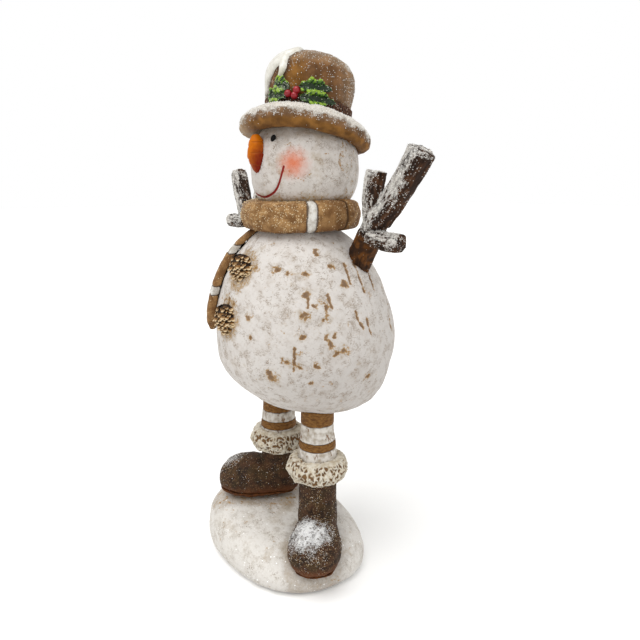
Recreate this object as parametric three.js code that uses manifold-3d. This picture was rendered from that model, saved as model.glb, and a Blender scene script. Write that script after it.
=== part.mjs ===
// A resin snowman figurine: it stands on a snow mound in boots, with twig arms and a top hat.
// Millimetres, +Z up. The figure faces -Y, and +X is its own left side.
// The origin is on the flat underside of the mound, below the centre of the belly.
import * as THREE from "three";
import { mergeVertices } from "three/addons/utils/BufferGeometryUtils.js";
import Module from "manifold-3d";

const wasm = await Module();
wasm.setup();

// ---- driving dimensions ------------------------------------------------------------------
const GAP = 0.3; // clearance between two pieces that touch

// The belly is an egg: radius and place of its widest circle, its heights above and below it,
// how much it narrows below, and how far its lowest part hangs to one side and back.
const BELLY = { r: 69.5, y: 2, z: 186.5, up: 97, down: 59.5, lean: 9, narrow: 0.065, sag: [2, 23] };
const HEAD = { r: 39.8, half: 36, y: 0.6, z: 318, square: 2.5 };
const SCARF = { y: -3, z: 284.6, ring: 34, thick: 10.6, half: 10.8 };
const TAIL = { from: 27, wide: 22, top: 266, bottom: 206, thick: 7.2 }; // degrees, then lengths
const CONE = { wide: 11.6, high: 13, deep: 9 }; // semi-axes of a pinecone button
const NOSE = { low: 312.5, high: 340, r: 7.2 };
const EYE = { x: 13, z: 336.8, r: 2.5 };

const HAT = { y: 2, z: 346, lean: 9.5, brim: 48.4, rim: 7.8, base: 29.5, top: 31.6, tall: 51 };
// The brim is bent like a saddle: its ends droop, its sides rise; the bend runs at an angle.
const BEND = { turn: 55, droop: 5, rise: 1.5, from: 27 };
const BAND = { low: 7, high: 16, thick: 1.6 };
const BERRY = 2.5;

const LEG = { r: 12.8, flare: 15 };
const CUFF = { ring: 14.8, thick: 9.4, half: 9.8 };
const SHAFT = { r: 14.4, ankle: 15.4 };
const FOOT = { heel: -17, toe: 21.6, waist: 15.5, high: 16.5, sole: 4.5, dip: 4.5 };
// Each leg: where it stands, the heights of its ground, cuff and top, its toe direction and
// downward pitch, the length to the toe's tip and how far the toe swings to one side.
const LEFT = {
  ...{ x: 22.2, y: -3.6, ground: 26, cuff: 91, top: 150 },
  ...{ toe: 54, pitch: 11, tip: 45.5, swing: -1.8 },
};
const RIGHT = {
  ...{ x: -36.5, y: -3.3, ground: 43.5, cuff: 95.2, top: 152 },
  ...{ toe: -35, pitch: -3, tip: 53, swing: 0 },
};

const MOUND = { x: -22, y: -7.2, long: 76, wide: 58, square: 2.4, high: 39.5, slope: 0.18 };

// ---- materials ---------------------------------------------------------------------------
const paint = (color, roughness, metalness = 0) =>
  new THREE.MeshStandardMaterial({ color, roughness, metalness });
const COLOURS = {
  body_snow: [0xdcd5cb, 0.75],
  base_snow: [0xe2ded6, 0.7],
  hat_snow: [0xeeece2, 0.35],
  scarf_tan: [0xb08a5c, 0.7],
  hat_brown: [0x8f6f4f, 0.75],
  band_brown: [0x5a4130, 0.7],
  twig_brown: [0x5b4330, 0.85],
  boot_brown: [0x4a352a, 0.75],
  sole_ochre: [0x7e4e28, 0.7],
  cuff_cream: [0xddd3c0, 0.9],
  stocking: [0xd8d0c4, 0.7],
  cone_gold: [0xa98555, 0.7],
  carrot: [0xc96a1c, 0.5],
  holly: [0x3f7a1e, 0.35],
  berry: [0xb01428, 0.3],
  eye_black: [0x0c0a0a, 0.25],
};

// ---- geometry helpers --------------------------------------------------------------------
const rad = (d) => (d * Math.PI) / 180;
const lerp = THREE.MathUtils.lerp;
const V = (x, y, z) => new THREE.Vector3(x, y, z);

// A closed three.js geometry as a manifold solid.
function solid(geometry) {
  const bare = new THREE.BufferGeometry();
  bare.setAttribute("position", geometry.getAttribute("position").clone());
  if (geometry.index) bare.setIndex(geometry.index.clone());
  const g = mergeVertices(bare, 1e-4);
  const tri = [];
  for (let i = 0; i < g.index.count; i += 3) {
    const [a, b, c] = [0, 1, 2].map((k) => g.index.getX(i + k));
    if (a !== b && b !== c && c !== a) tri.push(a, b, c);
  }
  const make = (t) =>
    new wasm.Manifold(
      new wasm.Mesh({
        numProp: 3,
        vertProperties: new Float32Array(g.attributes.position.array),
        triVerts: new Uint32Array(t),
      }),
    );
  const made = make(tri);
  return made.volume() > 0 ? made : make(tri.reverse());
}

// Moves every vertex of a geometry through a function of its position.
function reshape(geometry, f) {
  const p = geometry.getAttribute("position");
  for (let i = 0; i < p.count; i++) {
    const v = f(V(p.getX(i), p.getY(i), p.getZ(i)));
    p.setXYZ(i, v.x, v.y, v.z);
  }
  return geometry;
}

// A limb of round section along a smooth line through points, with one radius for each point.
function limb(points, radii, sides = 12, steps = 6, rough = 0) {
  const line = new THREE.CatmullRomCurve3(points.map((p) => V(...p)));
  const frames = line.computeFrenetFrames(steps, false);
  return reshape(new THREE.CylinderGeometry(1, 1, 1, sides, steps), (v) => {
    const t = v.y + 0.5;
    const i = Math.round(t * steps);
    const at = line.getPointAt(i / steps);
    const k = t * (radii.length - 1);
    const a = Math.min(Math.floor(k), radii.length - 2);
    const knob = 1 + rough * Math.sin(5 * Math.atan2(v.z, v.x) + 4 * i);
    const r = lerp(radii[a], radii[a + 1], k - a) * knob;
    const side = new THREE.Vector3().crossVectors(frames.normals[i], frames.tangents[i]);
    return at.addScaledVector(frames.normals[i], v.x * r).addScaledVector(side, v.z * r);
  });
}

// A soft irregular ripple, the same for the same place.
const ripple = (x, y, z, s = 1) =>
  0.5 * Math.sin(0.11 * s * x + 1.3) * Math.cos(0.13 * s * y) +
  0.3 * Math.sin(0.23 * s * y + 0.17 * s * z) +
  0.2 * Math.cos(0.31 * s * x - 0.27 * s * z + 2);

const turned = (geometry, ...spins) => {
  for (const [axis, deg] of spins) geometry["rotate" + axis](rad(deg));
  return geometry;
};
const ball = (rx, ry, rz, w = 24, h = 14) =>
  turned(new THREE.SphereGeometry(1, w, h), ["X", 90]).scale(rx, ry, rz);

// ---- belly and head ----------------------------------------------------------------------
// The belly is an egg turned about an axis that leans forward a little.
const bellyTilt = new THREE.Matrix4()
  .makeTranslation(0, BELLY.y, BELLY.z)
  .multiply(new THREE.Matrix4().makeRotationX(rad(BELLY.lean)));

// Radius of the belly at a height over its widest circle.
function bellyRadius(h, grow = 0) {
  const half = (h > 0 ? BELLY.up : BELLY.down) + grow;
  const waist = h > 0 ? 1 : 1 + BELLY.narrow * Math.sin((Math.PI * h) / half);
  return (BELLY.r + grow) * waist * Math.sqrt(Math.max(0, 1 - (h / half) ** 2));
}
function belly(grow = 0) {
  const profile = [];
  for (let i = 0; i <= 14; i++) {
    const a = rad(-90 + (180 * i) / 14);
    const h = ((a > 0 ? BELLY.up : BELLY.down) + grow) * Math.sin(a);
    profile.push(new THREE.Vector2(bellyRadius(h, grow), h));
  }
  profile[0].x = profile[14].x = 0;
  const g = turned(new THREE.LatheGeometry(profile, 26), ["X", 90]);
  reshape(g, (v) => {
    const below = Math.min(0, v.z / BELLY.down);
    const push = 1 + (0.8 * ripple(v.x, v.y, v.z)) / BELLY.r;
    const [side, back] = BELLY.sag.map((far) => far * below * below);
    return V(v.x * push + side, v.y * push + back, v.z);
  });
  return solid(g.applyMatrix4(bellyTilt));
}
// The head is a ball pressed flat above and below, so its sides stand steeper than a sphere's.
function headPoint(v, grow) {
  const ring = Math.hypot(v.x, v.y);
  const k = (ring ** HEAD.square + Math.abs(v.z) ** HEAD.square) ** (-1 / HEAD.square);
  const r = HEAD.r + grow;
  return V(v.x * k * r, v.y * k * r + HEAD.y, v.z * k * (HEAD.half + grow) + HEAD.z);
}
const head = (grow = 0) => solid(reshape(ball(1, 1, 1, 20, 12), (v) => headPoint(v, grow)));

// ---- scarf -------------------------------------------------------------------------------
function scarfWrap(grow = 0) {
  const g = new THREE.TorusGeometry(2, 1, 8, 17);
  reshape(g, (v) => {
    const a = Math.atan2(v.y, v.x);
    const out = Math.hypot(v.x, v.y) - 2; // negative at the neck, positive on the outside
    const soft = 1 + 0.03 * Math.sin(3 * a + 1);
    const square = (t) => Math.sign(t) * Math.abs(t) ** 0.62;
    const r = SCARF.ring + (SCARF.thick * soft + grow) * square(out);
    return V(
      r * Math.cos(a),
      r * Math.sin(a) + SCARF.y,
      SCARF.z + (SCARF.half + grow) * square(v.z) + 0.8 * Math.sin(2 * a + 0.5),
    );
  });
  return solid(g);
}

// The hanging end lies on the belly at the figure's right side and ends in a round tip.
function scarfTail() {
  const g = new THREE.BoxGeometry(1, 1, 1, 4, 1, 10);
  reshape(g, (v) => {
    const down = v.z + 0.5;
    const h = lerp(TAIL.bottom, TAIL.top + 12, down) - BELLY.z;
    const tip = Math.min(1, Math.sqrt(Math.max(0.04, down * 6)));
    const spread = TAIL.wide / (bellyRadius(h) + TAIL.thick);
    const turn = -rad(TAIL.from) - spread * (0.5 - v.x * tip);
    const crown = (1 - 0.25 * (2 * v.x) ** 2) * lerp(0.55, 1, tip);
    const lift = GAP + 0.9 + (v.y + 0.5) * TAIL.thick * crown;
    const r = bellyRadius(h) + lift;
    return V(r * Math.sin(turn), -r * Math.cos(turn), h);
  });
  return solid(g.applyMatrix4(bellyTilt));
}

// ---- pinecone buttons, nose, eyes --------------------------------------------------------
// An oval boss covered in rows of blunt scales, standing on the front of the belly.
function coneButton(height, side) {
  const g = reshape(turned(new THREE.SphereGeometry(1, 12, 7), ["X", 90]), (v) => {
    const row = Math.round(v.z * 5);
    const bump = 1 + 0.09 * Math.cos(7 * Math.atan2(v.y, v.x) + row * Math.PI);
    return V(v.x * CONE.wide * bump, v.y * CONE.deep * bump, v.z * CONE.high);
  });
  const h = height - BELLY.z;
  const slope = Math.atan2(h * BELLY.r, BELLY.up * BELLY.up * 0.75);
  const front = Math.sqrt(bellyRadius(h) ** 2 - side * side) + 0.8;
  g.rotateX(-slope * 0.9).translate(side, -front, h);
  return solid(g.applyMatrix4(bellyTilt));
}

// The carrot stands up along the face: thin at its foot, fat in the middle, blunt at the top.
const nose = () =>
  solid(
    limb(
      [
        [0, -36.2, NOSE.low],
        [0, -38.7, lerp(NOSE.low, NOSE.high, 0.45)],
        [0, -40, NOSE.high],
      ],
      [1.2, 4.6, 6.1, NOSE.r, 6.1, 5.2, 2.4],
      12,
      12,
    ),
  );
// Depth of the face at a place: its y at a given x and height.
function faceY(x, z) {
  const rise = Math.abs((z - HEAD.z) / HEAD.half) ** HEAD.square;
  const ring = HEAD.r * (1 - rise) ** (1 / HEAD.square);
  return HEAD.y - Math.sqrt(ring * ring - x * x);
}
const eye = (x) =>
  solid(
    ball(EYE.r * 0.85, EYE.r * 0.8, EYE.r * 1.2, 8, 6)
      .rotateX(rad(20))
      .translate(x, faceY(x, EYE.z) - 0.1, EYE.z),
  );

// ---- hat ---------------------------------------------------------------------------------
const hatPose = new THREE.Matrix4()
  .makeTranslation(0, HAT.y, HAT.z)
  .multiply(new THREE.Matrix4().makeRotationX(rad(-HAT.lean)));
const spun = (profile, sides) =>
  turned(new THREE.LatheGeometry(profile.map(([r, z]) => new THREE.Vector2(r, z)), sides), [
    "X",
    90,
  ]);

// Bends a flat disc like a saddle, more towards its edge.
function bend(v) {
  const out = THREE.MathUtils.smoothstep(Math.hypot(v.x, v.y), BEND.from, HAT.brim);
  const along = Math.cos(Math.atan2(v.y, v.x) - rad(BEND.turn)) ** 2;
  return V(v.x, v.y, v.z + out * lerp(BEND.rise, -BEND.droop, along));
}
// The brim is a thick disc with a rolled rim; its underside is hollow towards the head.
function hatBrim(grow = 0) {
  const out = HAT.brim - HAT.rim;
  const roll = HAT.rim + grow;
  const rim = [];
  for (let i = 0; i <= 5; i++) {
    const a = rad(-110 + (220 * i) / 5);
    rim.push([out + roll * Math.cos(a), roll * Math.sin(a)]);
  }
  const top = 4.2 + grow;
  const profile = [[0, -3], [out - 9, -3.5], ...rim, [out - 8, top], [0, top]];
  return solid(reshape(spun(profile, 22), bend).applyMatrix4(hatPose));
}

// Crown outline: it widens a little upwards, then rounds over into a shallow dome.
function crownProfile(grow = 0) {
  const shoulder = HAT.tall * 0.62;
  const profile = [
    [0, 4.5 - grow],
    [HAT.base + grow, 4.5 - grow],
    [HAT.base + grow, 12],
    [lerp(HAT.base, HAT.top, 0.6) + grow, 24],
  ];
  for (let i = 0; i <= 4; i++) {
    const a = rad((90 * i) / 4);
    profile.push([
      (HAT.top + grow) * Math.cos(a) ** 0.62,
      shoulder + (HAT.tall - shoulder + grow) * Math.sin(a),
    ]);
  }
  profile[profile.length - 1][0] = 0;
  return profile;
}
const crown = (grow = 0) => solid(spun(crownProfile(grow), 20).applyMatrix4(hatPose));

function hatBand(grow = 0) {
  const low = BAND.low - 1 - 8 * grow;
  const high = BAND.high + grow;
  const inner = HAT.base - 3 - grow;
  const outer = HAT.base + BAND.thick + grow;
  const profile = [
    [inner, low],
    [outer + 0.2, low],
    [outer + 0.6, high],
    [inner, high],
    [inner, low],
  ];
  return solid(spun(profile, 24).applyMatrix4(hatPose));
}

// Snow lies over the front and right of the crown, with a drip that hangs at the front.
function snowCap() {
  const reach = [
    ball(28, 26, 38, 12, 7).translate(-18, -22, 38),
    ball(5, 9, 12, 10, 6).translate(9, -31, 37),
    ball(8, 10, 26, 10, 6).translate(-20, -26, 30),
  ].map((g) => solid(g.applyMatrix4(hatPose)));
  const region = reach.reduce((a, b) => a.add(b));
  return crown(2.2).subtract(crown(GAP)).intersect(region);
}

// Point on the crown's wall: degrees round from the front to the figure's left, height, lift.
function onCrown(turn, height, lift) {
  const r = lerp(HAT.base, HAT.top, Math.min(1, (height - 8) / 24)) + lift;
  return V(r * Math.sin(rad(turn)), -r * Math.cos(rad(turn)), height);
}

// A holly leaf: a serrated almond bent round the crown, from its stalk end to its tip.
function hollyLeaf([turn0, z0], [turn1, z1], half, lift, grow = 0) {
  const outline = new THREE.Shape();
  const edge = [];
  const teeth = 4;
  for (let i = 1; i < 2 * teeth; i++) {
    const t = i / (2 * teeth);
    edge.push([t, Math.sin(Math.PI * t ** 0.85) * (i % 2 ? 1.15 : 0.72)]);
  }
  outline.moveTo(0, 0);
  edge.forEach(([t, w]) => outline.lineTo(t, w));
  outline.lineTo(1, 0);
  edge.reverse().forEach(([t, w]) => outline.lineTo(t, -w));
  outline.closePath();
  const g = new THREE.ExtrudeGeometry(outline, { depth: 1, bevelEnabled: false, steps: 1 });
  const length = Math.hypot(rad(turn1 - turn0) * HAT.base, z1 - z0);
  const across = [-(z1 - z0) / length, (rad(turn1 - turn0) * HAT.base) / length];
  reshape(g, (v) => {
    const w = v.y * (half + grow);
    const turn = lerp(turn0, turn1, v.x) + ((w * across[0]) / HAT.base) * 57.3;
    const fold = 1.6 * Math.sin(Math.PI * v.x) + 1.2 * Math.abs(v.y);
    return onCrown(turn, lerp(z0, z1, v.x) + w * across[1], lift + fold + lerp(-grow, 1.3 + grow, v.z));
  });
  return solid(g.applyMatrix4(hatPose));
}
function berry([turn, height], grow = 0) {
  const at = onCrown(turn, height, BERRY + 1.6);
  const r = BERRY + grow;
  return solid(ball(r, r, r, 8, 6).translate(at.x, at.y, at.z).applyMatrix4(hatPose));
}

// ---- legs and boots ----------------------------------------------------------------------
// Places a shape made with its toe along -Y and its heel at the leg's own ground point.
function stand(side, geometry, tilt = true) {
  const pose = new THREE.Matrix4()
    .makeTranslation(side.x, side.y, side.ground)
    .multiply(new THREE.Matrix4().makeRotationZ(rad(side.toe)));
  if (tilt) pose.multiply(new THREE.Matrix4().makeRotationX(rad(side.pitch)));
  return solid(geometry.applyMatrix4(pose));
}

// The foot: narrow at the heel, swelling to a round toe, square at its lower edge, flat below.
function footShape(side, grow = 0) {
  const g = turned(new THREE.SphereGeometry(1, 14, 9), ["X", 180]);
  return reshape(g, (v) => {
    const along = lerp(FOOT.heel - grow, side.tip + grow, (1 - v.y) / 2);
    const t = THREE.MathUtils.smoothstep(along, -4, 30);
    const power = v.z > 0 ? 2.2 : 3.2;
    const ring = (Math.abs(v.x) ** power + Math.abs(v.z) ** power) ** (1 / power) || 1;
    const round = (1 - Math.abs(v.y) ** 2.9) ** (1 / 2.3);
    const half = lerp(FOOT.waist, FOOT.toe, t) + grow;
    const tall = lerp(FOOT.high * 0.86, FOOT.high, t) + grow;
    const up = FOOT.high * 0.98 - FOOT.dip * Math.abs(v.y) ** 3 + (v.z / ring) * tall * round;
    return V((v.x / ring) * half * round + side.swing * t, -along, Math.max(-grow, up));
  });
}
const shaft = (side, grow = 0) => {
  const top = side.cuff - side.ground + 1;
  const lean = Math.tan(rad(side.pitch)) * 6;
  return limb(
    [
      [0, 1 + lean, 10],
      [0, lean * 0.4, 22],
      [0, 0, top + grow],
    ],
    [SHAFT.ankle + grow, SHAFT.ankle + grow, SHAFT.r + grow, SHAFT.r + grow],
    16,
    4,
  );
};
const slab = (low, high) =>
  new THREE.BoxGeometry(200, 200, high - low).translate(0, 0, (low + high) / 2);

function boot(side, grow = 0) {
  const foot = stand(side, footShape(side, grow)).add(stand(side, shaft(side, grow), false));
  return foot.subtract(stand(side, slab(-60, FOOT.sole + GAP - grow)));
}
const sole = (side, grow = 0) =>
  stand(side, footShape(side, 1.3 + grow)).intersect(stand(side, slab(-grow, FOOT.sole + grow)));

// The stocking leg runs from inside the fur cuff up into the belly and flares at its foot.
function leg(side, grow = 0) {
  const low = side.cuff + 1 + GAP - grow;
  const line = [low, low + 5, low + 9, low + 20, side.top].map((z) => [side.x, side.y, z]);
  const radii = [LEG.flare, LEG.flare, LEG.r, LEG.r, LEG.r].map((r) => r + grow);
  return solid(limb(line, radii, 16, 6));
}

// A fur cuff: a fat ring of tufts round the top of the boot.
function cuff(side) {
  const g = reshape(new THREE.TorusGeometry(2, 1, 7, 16), (v) => {
    const a = Math.atan2(v.y, v.x);
    const out = Math.hypot(v.x, v.y) - 2;
    const tuft = 1 + 0.05 * Math.sin(9 * a) * Math.cos(4 * v.z) + 0.04 * Math.sin(5 * a + 3 * v.z);
    const r = CUFF.ring + CUFF.thick * tuft * out;
    return V(r * Math.cos(a) + side.x, r * Math.sin(a) + side.y, side.cuff + CUFF.half * v.z * tuft);
  });
  return solid(g)
    .subtract(leg(side, GAP))
    .subtract(boot(side, GAP));
}

// ---- snow mound --------------------------------------------------------------------------
// A thick oval pillow of snow with a flat underside; its top slopes down towards the left foot.
function mound() {
  const outline = [
    [0, 1],
    [0.2, 1],
    [0.4, 0.985],
    [0.58, 0.95],
    [0.74, 0.9],
    [0.86, 0.81],
    [0.945, 0.65],
    [0.985, 0.5],
    [1, 0.34],
    [0.99, 0.19],
    [0.955, 0.07],
    [0.91, 0],
    [0, 0],
  ];
  const g = turned(
    new THREE.LatheGeometry(outline.map(([r, z]) => new THREE.Vector2(r, z)), 24),
    ["X", 90],
  );
  reshape(g, (v) => {
    const a = Math.atan2(v.y, v.x);
    const c = Math.abs(Math.cos(a)) ** MOUND.square + Math.abs(Math.sin(a)) ** MOUND.square;
    const wave = c ** (-1 / MOUND.square) * (1 + 0.012 * Math.sin(3 * a + 1));
    const x = v.x * MOUND.long * wave;
    const y = v.y * MOUND.wide * wave;
    const high = MOUND.high - MOUND.slope * x + 1.5 * ripple(x, y, 0, 0.8);
    return V(x, y, v.z * high);
  });
  return solid(g.translate(MOUND.x, MOUND.y, 0));
}

// ---- twig arms ---------------------------------------------------------------------------
// Each arm is a trunk that forks into a long outer branch, an inner branch and a cut stub.
const ARMS = {
  left: {
    trunk: { at: [[37, 18, 243], [52, 16, 262], [62, 15, 276], [70, 14, 286]], r: [10.4, 9.4, 9, 8.6] },
    branch: {
      at: [[70, 14.5, 283], [82, 17, 298], [92.5, 18.5, 312], [103, 19, 326]],
      r: [8.6, 8.8, 8.8, 9.6],
    },
    inner: { at: [[65, 13, 281], [65.5, 11, 294], [67, 11, 304], [69, 11.5, 315]], r: [7.2, 7.2, 7, 7.2] },
    stub: { at: [[64, 12, 272], [77, 14, 269], [89, 17.5, 268.5]], r: [7, 6.4, 6.4] },
  },
  right: {
    trunk: { at: [[-39, 11, 244], [-56, 4, 262], [-69, -1, 274], [-78, -4, 282]], r: [9.4, 8.4, 8, 7.8] },
    branch: { at: [[-78, -4, 278], [-89, -3, 290], [-97, -1, 303], [-107, 2, 316]], r: [7.6, 7.2, 7, 7.2] },
    inner: { at: [[-72, 0, 278], [-73, 4, 291], [-74, 6, 302], [-76, 8, 313]], r: [6.8, 6.6, 6.4, 6.4] },
    stub: { at: [[-82, -5, 277], [-95, -7, 276], [-106, -7, 276]], r: [6.2, 5.8, 5.8] },
  },
};
const twig = ({ at, r }, grow = 0) =>
  solid(limb(at, r.map((k) => k + grow), 9, 4, 0.035));

// ---- assembly ----------------------------------------------------------------------------
const group = new THREE.Group();
// Adds one named piece; crumbs that a cut leaves beside the main body are dropped.
function place(name, made, slot) {
  const bodies = made.decompose().sort((a, b) => b.volume() - a.volume());
  const m = bodies[0].simplify(0.13).getMesh();
  const n = m.numProp;
  const flat = new Float32Array(m.numVert * 3);
  for (let i = 0; i < m.numVert; i++) flat.set(m.vertProperties.subarray(i * n, i * n + 3), i * 3);
  const g = new THREE.BufferGeometry();
  g.setAttribute("position", new THREE.BufferAttribute(flat, 3));
  g.setIndex(new THREE.BufferAttribute(m.triVerts, 1));
  const mesh = new THREE.Mesh(g, paint(...COLOURS[slot]));
  mesh.name = name;
  group.add(mesh);
}

const bellyGrown = belly(GAP);
const headGrown = head(GAP);

let snow = mound();
for (const [name, side] of [["left", LEFT], ["right", RIGHT]]) {
  snow = snow.subtract(sole(side, GAP)).subtract(boot(side, GAP));
  place(`boot_${name}`, boot(side), "boot_brown");
  place(`boot_sole_${name}`, sole(side), "sole_ochre");
  place(`fur_cuff_${name}`, cuff(side), "cuff_cream");
  place(`stocking_leg_${name}`, leg(side).subtract(bellyGrown), "stocking");
}
place("snow_mound_base", snow, "base_snow");

place("belly", belly(), "body_snow");
place("head", head().subtract(bellyGrown), "body_snow");
place("scarf_wrap", scarfWrap().subtract(bellyGrown.add(headGrown)), "scarf_tan");
place("scarf_tail", scarfTail().subtract(scarfWrap(GAP)).subtract(bellyGrown), "scarf_tan");
place("pinecone_button_upper", coneButton(257, 5).subtract(bellyGrown), "cone_gold");
place("pinecone_button_lower", coneButton(223.5, 1).subtract(bellyGrown), "cone_gold");
place("carrot_nose", nose().subtract(headGrown), "carrot");
place("eye_left", eye(EYE.x).subtract(headGrown), "eye_black");
place("eye_right", eye(-EYE.x).subtract(headGrown), "eye_black");

place("hat_brim", hatBrim().subtract(headGrown), "hat_brown");
place("hat_band", hatBand(), "band_brown");
place("hat_crown", crown().subtract(hatBand(GAP)).subtract(headGrown), "hat_brown");

// Leaves first, then the berries in front of them; each later piece is cut clear of the earlier.
const LEAVES = [
  [[32, 19.5], [8, 22.3], 5, 2.2],
  [[30, 15], [-2, 13.5], 4.6, 2.6],
  [[42, 20.5], [82, 22], 4.6, 2.2],
  [[44, 13.5], [89, 13.8], 4.2, 3.4],
];
const BERRIES = [[31, 15.5], [39, 14.5], [41, 18]];
let sprig = hatBand(GAP).add(crown(GAP));
BERRIES.forEach((at, i) => {
  place(`holly_berry_${i + 1}`, berry(at).subtract(sprig), "berry");
  sprig = sprig.add(berry(at, GAP));
});
LEAVES.forEach((leaf, i) => {
  const made = hollyLeaf(...leaf).subtract(sprig);
  place(`holly_leaf_${i + 1}`, made, "holly");
  sprig = sprig.add(hollyLeaf(...leaf, GAP + 0.2));
});
place("hat_snow_cap", snowCap().subtract(sprig).subtract(hatBrim(GAP)).subtract(headGrown), "hat_snow");

for (const [side, arm] of Object.entries(ARMS)) {
  let cut = bellyGrown.add(scarfWrap(GAP));
  for (const [piece, shape] of Object.entries(arm)) {
    place(`arm_${side}_${piece}`, twig(shape).subtract(cut), "twig_brown");
    cut = cut.add(twig(shape, GAP));
  }
}
export default group;
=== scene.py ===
# %% [markdown]
# # A resin snowman, cast and painted by hand
# The real object is a figurine about 40 cm tall. It is cast in resin, sealed in off-white
# paint, rubbed with a brown wash that stays in the hollows, and dusted with frost and glitter.
# A CAD model already fixes where each piece is. This script gives every piece its real skin:
# it covers each CAD solid with a fine mesh, carves that mesh, and paints it with node
# materials. All lengths in the script are millimetres, and Blender itself works in metres.

# %% Load the CAD frame
import math

import bmesh
import bpy
import numpy as np
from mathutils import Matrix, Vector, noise


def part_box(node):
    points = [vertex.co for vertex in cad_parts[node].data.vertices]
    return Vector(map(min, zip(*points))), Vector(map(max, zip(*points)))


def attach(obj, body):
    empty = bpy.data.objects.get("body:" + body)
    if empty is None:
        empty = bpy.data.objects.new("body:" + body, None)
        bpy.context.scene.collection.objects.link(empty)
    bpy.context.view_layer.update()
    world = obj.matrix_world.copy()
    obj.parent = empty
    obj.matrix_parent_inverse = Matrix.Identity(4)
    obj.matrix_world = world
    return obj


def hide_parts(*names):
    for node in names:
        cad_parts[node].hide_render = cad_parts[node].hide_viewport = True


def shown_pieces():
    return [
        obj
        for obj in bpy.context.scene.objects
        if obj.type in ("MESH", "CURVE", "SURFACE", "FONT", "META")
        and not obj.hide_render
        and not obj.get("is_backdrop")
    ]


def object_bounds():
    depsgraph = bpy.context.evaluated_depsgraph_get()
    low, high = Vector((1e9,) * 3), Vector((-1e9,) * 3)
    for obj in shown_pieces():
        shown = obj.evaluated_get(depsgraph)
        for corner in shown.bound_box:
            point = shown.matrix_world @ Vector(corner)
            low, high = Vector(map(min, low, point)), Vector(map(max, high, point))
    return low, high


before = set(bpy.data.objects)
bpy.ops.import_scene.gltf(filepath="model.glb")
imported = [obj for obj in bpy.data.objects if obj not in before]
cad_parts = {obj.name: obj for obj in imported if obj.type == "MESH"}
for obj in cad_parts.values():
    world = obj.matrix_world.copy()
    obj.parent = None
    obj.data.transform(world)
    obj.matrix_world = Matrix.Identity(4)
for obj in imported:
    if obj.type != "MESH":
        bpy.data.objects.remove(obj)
cad_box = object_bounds()
MM = 0.001
print("CAD nodes:", len(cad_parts))


def box_mm(node):
    """Lowest and highest corner of a CAD node, in millimetres."""
    low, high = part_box(node)
    return np.array(low) / MM, np.array(high) / MM


# %% [markdown]
# ## Camera and studio
# The figure is seen from its left front, three quarters on, from a little above its hat, and
# from close by, so that it narrows towards its boots. A camera is placed here by an angle
# round the figure, a distance and a height, as one would place a tripod. The light is a white
# tent: a bright world does most of the work, one soft far lamp gives the direction, and a weak
# one opens the shadows. A small hard lamp would make the painted snow look like plastic.

# %% Camera
TURN, DOWN = math.radians(55), math.radians(12.5)
AWAY, ASIDE, HIGH = 456.3, 11.8, 304.6
right_hand = np.array([math.cos(TURN), math.sin(TURN), 0])
towards_camera = np.array([math.sin(TURN), -math.cos(TURN), 0])

camera = bpy.data.objects.new("camera", bpy.data.cameras.new("camera"))
camera.data.lens = 33.75
camera.data.sensor_width = 36
camera.location = (towards_camera * AWAY + right_hand * ASIDE + [0, 0, HIGH]) * MM
camera.rotation_euler = (math.pi / 2 - DOWN, 0, TURN)
bpy.context.scene.collection.objects.link(camera)
bpy.context.scene.camera = camera
bpy.context.scene.view_settings.view_transform = "Standard"

# %% Lamps and world
def sky_lamp(name, place, strength, spread):
    """A far lamp that shines from a place towards the origin; spread softens its shadows."""
    lamp = bpy.data.objects.new(name, bpy.data.lights.new(name, "SUN"))
    lamp.data.energy = strength
    lamp.data.angle = math.radians(spread)
    lamp.rotation_euler = (
        math.atan2(math.hypot(place[0], place[1]), place[2]),
        0,
        math.atan2(place[0], -place[1]),
    )
    bpy.context.scene.collection.objects.link(lamp)
    return lamp


key_place = towards_camera * 0.55 - right_hand * 0.45 + [0, 0, 1.5]
fill_place = towards_camera * 0.9 + right_hand * 0.7 + [0, 0, 0.6]
sky_lamp("key", key_place, 1.65, 45)
sky_lamp("fill", fill_place, 0.3, 70)

world = bpy.data.worlds.new("white_tent")
bpy.context.scene.world = world
world.use_nodes = True
tent = world.node_tree
tent.nodes["Background"].inputs["Color"].default_value = (1, 0.997, 0.99, 1)
tent.nodes["Background"].inputs["Strength"].default_value = 0.74
# The tent's wall itself is pure white behind the figure, a little brighter than the light it gives.
wall = tent.nodes.new("ShaderNodeBackground")
choice = tent.nodes.new("ShaderNodeMixShader")
path = tent.nodes.new("ShaderNodeLightPath")
tent.links.new(path.outputs["Is Camera Ray"], choice.inputs[0])
tent.links.new(tent.nodes["Background"].outputs[0], choice.inputs[1])
tent.links.new(wall.outputs[0], choice.inputs[2])
tent.links.new(choice.outputs[0], tent.nodes["World Output"].inputs["Surface"])
wall.inputs["Color"].default_value = (1, 1, 1, 1)
print("camera at", [round(x, 3) for x in camera.location])


# %% [markdown]
# ## A way to write materials
# A node material is a sum of small steps, and most of them are plain arithmetic. The class
# `Wire` holds one socket and understands `+ - * /`, so `1 - mask` makes a Math node by itself.
# `Finish` is one material: its `node` method adds any other node, and the short methods under
# it name the few that are used again and again.

# %% Wires and finishes
class Wire:
    """One output of a node, which can be used in an expression."""

    def __init__(self, finish, socket):
        self.finish = finish
        self.socket = socket

    def maths(self, operation, first, second):
        return self.finish.node("ShaderNodeMath", {"operation": operation}, {0: first, 1: second})

    def __add__(self, other):
        return self.maths("ADD", self, other)

    def __sub__(self, other):
        return self.maths("SUBTRACT", self, other)

    def __mul__(self, other):
        return self.maths("MULTIPLY", self, other)

    def __truediv__(self, other):
        return self.maths("DIVIDE", self, other)

    def __rsub__(self, other):
        return self.maths("SUBTRACT", other, self)

    __radd__ = __add__
    __rmul__ = __mul__


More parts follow.
